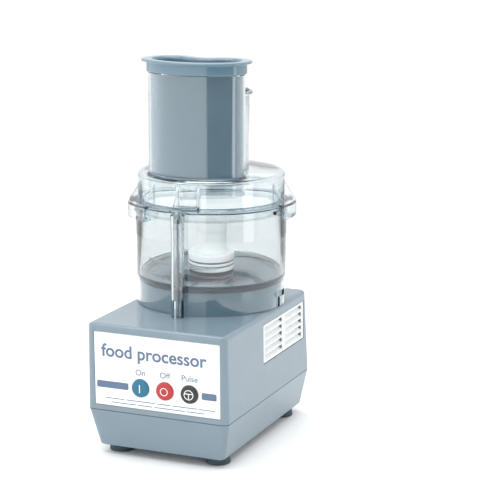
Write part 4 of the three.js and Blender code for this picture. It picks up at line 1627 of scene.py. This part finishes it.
# ------------------------------------------------------------------ CAD nodes that keep their shape
@dataclass
class Carried:
    """Finishes for the CAD nodes that show as they are."""

    nodes: dict[str, Piece]
    finishes: dict[str, Finish] = field(default_factory=lambda: {
        "vent_grille": PALETTE.vent, "cord_gland": PALETTE.dark_nylon, "foot_screw": PALETTE.steel,
        # The bayonet pins take the seat's lightened plastic: a painted light.
        "bayonet_pin": PALETTE.seat, "_switch": PALETTE.dark_nylon, "switch_bracket": PALETTE.steel,
        "capacitor": PALETTE.casting, "control_board": PALETTE.circuit, "motor_stator": PALETTE.lamination,
        "motor_rotor": PALETTE.lamination, "_bell": PALETTE.casting, "motor_shaft": PALETTE.steel,
        "motor_fan": PALETTE.dark_nylon, "_bearing": PALETTE.steel, "motor_screw": PALETTE.steel,
        "shaft_seal": PALETTE.seal, "blade_sleeve": PALETTE.steel})

    def build(self) -> None:
        """Gives each CAD node the finish whose key its name holds."""
        for name, node in self.nodes.items():
            for key, finish in self.finishes.items():
                if key in name:
                    node.data.materials.clear()
                    node.data.materials.append(finish.material())
                    LOG.info("%s keeps its CAD shape", name)


# ------------------------------------------------------------------ floor, light and camera
@dataclass
class Studio:
    """Pale floor, soft lights and the camera."""

    axis: Point
    blade: Sequence[Piece] = ()
    azimuth: float = 23.66
    elevation: float = 12.03
    distance: float = 2329.8
    target_z: float = 250
    lens: float = 128.2
    shift: Point = (0.0773, -0.0146)
    # How bright the room is in each direction, from -180 to 180 degrees about the object
    room: tuple[Point, ...] = (
        (-180, 1.05), (-112, 1.0), (-100, 1.9), (14, 1.8), (17, 0.06), (72, 0.08), (75, 3.1),
        (90, 3.1), (93, 0.8), (104, 1.6), (138, 1.5), (158, 0.9), (172, 1.05), (180, 1.05))
    overhead: float = 1.1
    backdrop: float = 1.05
    floor_r: float = 1.3
    bounces: int = 32

    def grey(self, level: float) -> Outline:
        """Returns an even grey of a level, which may be above 1."""
        return (level, level, level, 1.0)

    def direction(self, azimuth: float, elevation: float) -> Vector:
        """Returns the direction from the object towards an azimuth, counted from the front."""
        a, e = math.radians(azimuth), math.radians(elevation)
        return Vector((math.sin(a) * math.cos(e), -math.cos(a) * math.cos(e), math.sin(e)))

    def camera(self) -> None:
        """Places the camera."""
        target = scaled((*self.axis, self.target_z))
        data = bpy.data.cameras.new("camera")
        data.lens = self.lens
        data.shift_x, data.shift_y = self.shift
        data.clip_end = 50
        camera = bpy.data.objects.new("camera", data)
        bpy.context.scene.collection.objects.link(camera)
        view = self.direction(self.azimuth, self.elevation)
        camera.location = target + view * self.distance * MM
        camera.rotation_euler = view.to_track_quat("Z", "Y").to_euler()
        bpy.context.scene.camera = camera

    def softbox(self, name: str, azimuth: float, elevation: float, distance: float, size: Point,
                power: float) -> Piece:
        """Places one rectangular softbox that faces the object.

        Args:
            name: the lamp's name.
            azimuth: where it stands, from the front towards the right.
            elevation: how high it stands, in degrees.
            distance: how far it stands, in metres.
            size: its width and height, in metres.
            power: its power, in watts.

        Returns:
            The lamp.
        """
        data = bpy.data.lights.new(name, "AREA")
        data.shape = "RECTANGLE"
        data.size, data.size_y = size
        data.energy = power
        lamp = bpy.data.objects.new(name, data)
        bpy.context.scene.collection.objects.link(lamp)
        view = self.direction(azimuth, elevation)
        lamp.location = scaled((*self.axis, self.target_z)) + view * distance
        lamp.rotation_euler = view.to_track_quat("Z", "Y").to_euler()
        return lamp

    def world(self) -> None:
        """Makes the room: white behind and beside the object, dark around the camera."""
        world = bpy.data.worlds.new("studio")
        bpy.context.scene.world = world
        world.use_nodes = True
        tree = world.node_tree
        tree.nodes.clear()
        place = add_node(tree, "TexCoord")
        parts = add_node(tree, "SeparateXYZ", links={"Vector": place.outputs["Generated"]})
        turn = add_node(tree, "Math", {"operation": "ARCTAN2"})
        tree.links.new(parts.outputs["X"], turn.inputs[0])
        back = add_node(tree, "Math", {"operation": "MULTIPLY"})
        tree.links.new(parts.outputs["Y"], back.inputs[0])
        back.inputs[1].default_value = -1.0
        tree.links.new(back.outputs["Value"], turn.inputs[1])
        share = add_node(tree, "MapRange", {"From Min": -math.pi, "From Max": math.pi},
                         {"Value": turn.outputs["Value"]})
        ramp = add_node(tree, "ValToRGB", links={"Fac": share.outputs["Result"]})
        elements = ramp.color_ramp.elements
        for _ in self.room[len(elements):]:
            elements.new(0.5)
        for element, (degrees, level) in zip(elements, self.room):
            element.position = (degrees + 180) / 360
            element.color = self.grey(level)
        fade = {"From Min": 0.25, "From Max": 0.4}  # where the walls turn into the ceiling
        high = add_node(tree, "MapRange", fade, {"Value": parts.outputs["Z"]})
        sky = add_node(tree, "Mix", {"data_type": "RGBA"}, {"Factor": high.outputs["Result"]})
        tree.links.new(ramp.outputs["Color"], sky.inputs[6])
        sky.inputs[7].default_value = self.grey(self.overhead)
        path = add_node(tree, "LightPath")
        seen = add_node(tree, "Mix", {"data_type": "RGBA"}, {"Factor": path.outputs["Is Camera Ray"]})
        tree.links.new(sky.outputs[2], seen.inputs[6])
        seen.inputs[7].default_value = self.grey(self.backdrop)
        background = add_node(tree, "Background", {"Strength": 1.0}, {"Color": seen.outputs[2]})
        add_node(tree, "OutputWorld", links={"Surface": background.outputs["Background"]})

    def floor(self) -> None:
        """Lays the pale floor."""
        deselect()
        bpy.ops.mesh.primitive_circle_add(vertices=96, radius=self.floor_r, fill_type="NGON")
        floor = bpy.context.object
        floor.name = "floor"
        floor.data.materials.append(PALETTE.floor.material())

    def build(self) -> None:
        """Builds the floor, the world, the lamps and the camera."""
        self.camera()
        self.world()
        self.floor()
        self.softbox("top_softbox", -20, 80, 2.4, (2.4, 2.4), 50)
        fill = self.softbox("blade_fill", 10, 22, 2.2, (1.5, 1.5), 37)
        blade = bpy.data.collections.new("blade_pieces")
        for piece in self.blade:
            blade.objects.link(piece)
        fill.light_linking.receiver_collection = blade
        bpy.context.scene.view_settings.view_transform = "Standard"
        paths = bpy.context.scene.cycles
        paths.max_bounces = paths.transmission_bounces = paths.glossy_bounces = self.bounces
        paths.transparent_max_bounces = self.bounces


def main() -> None:
    """Builds every class in order around the frame."""
    logging.basicConfig(level=logging.INFO, format="%(message)s")
    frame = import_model()
    places = Places.read()
    panel = Panel(places)
    casing = Casing(places, panel)
    casing.build()
    Label(panel, casing).build()
    Undercarriage().build()
    Seat(places).build()
    Bowl(places).build()
    blade = SBlade(places).build()
    kidney = Kidney(places.axis)
    Lid(places, kidney).build()
    Pushers(places, kidney).build()
    Carried(frame["nodes"]).build()
    Studio(places.axis, blade).build()


if __name__ == "__main__":
    main()
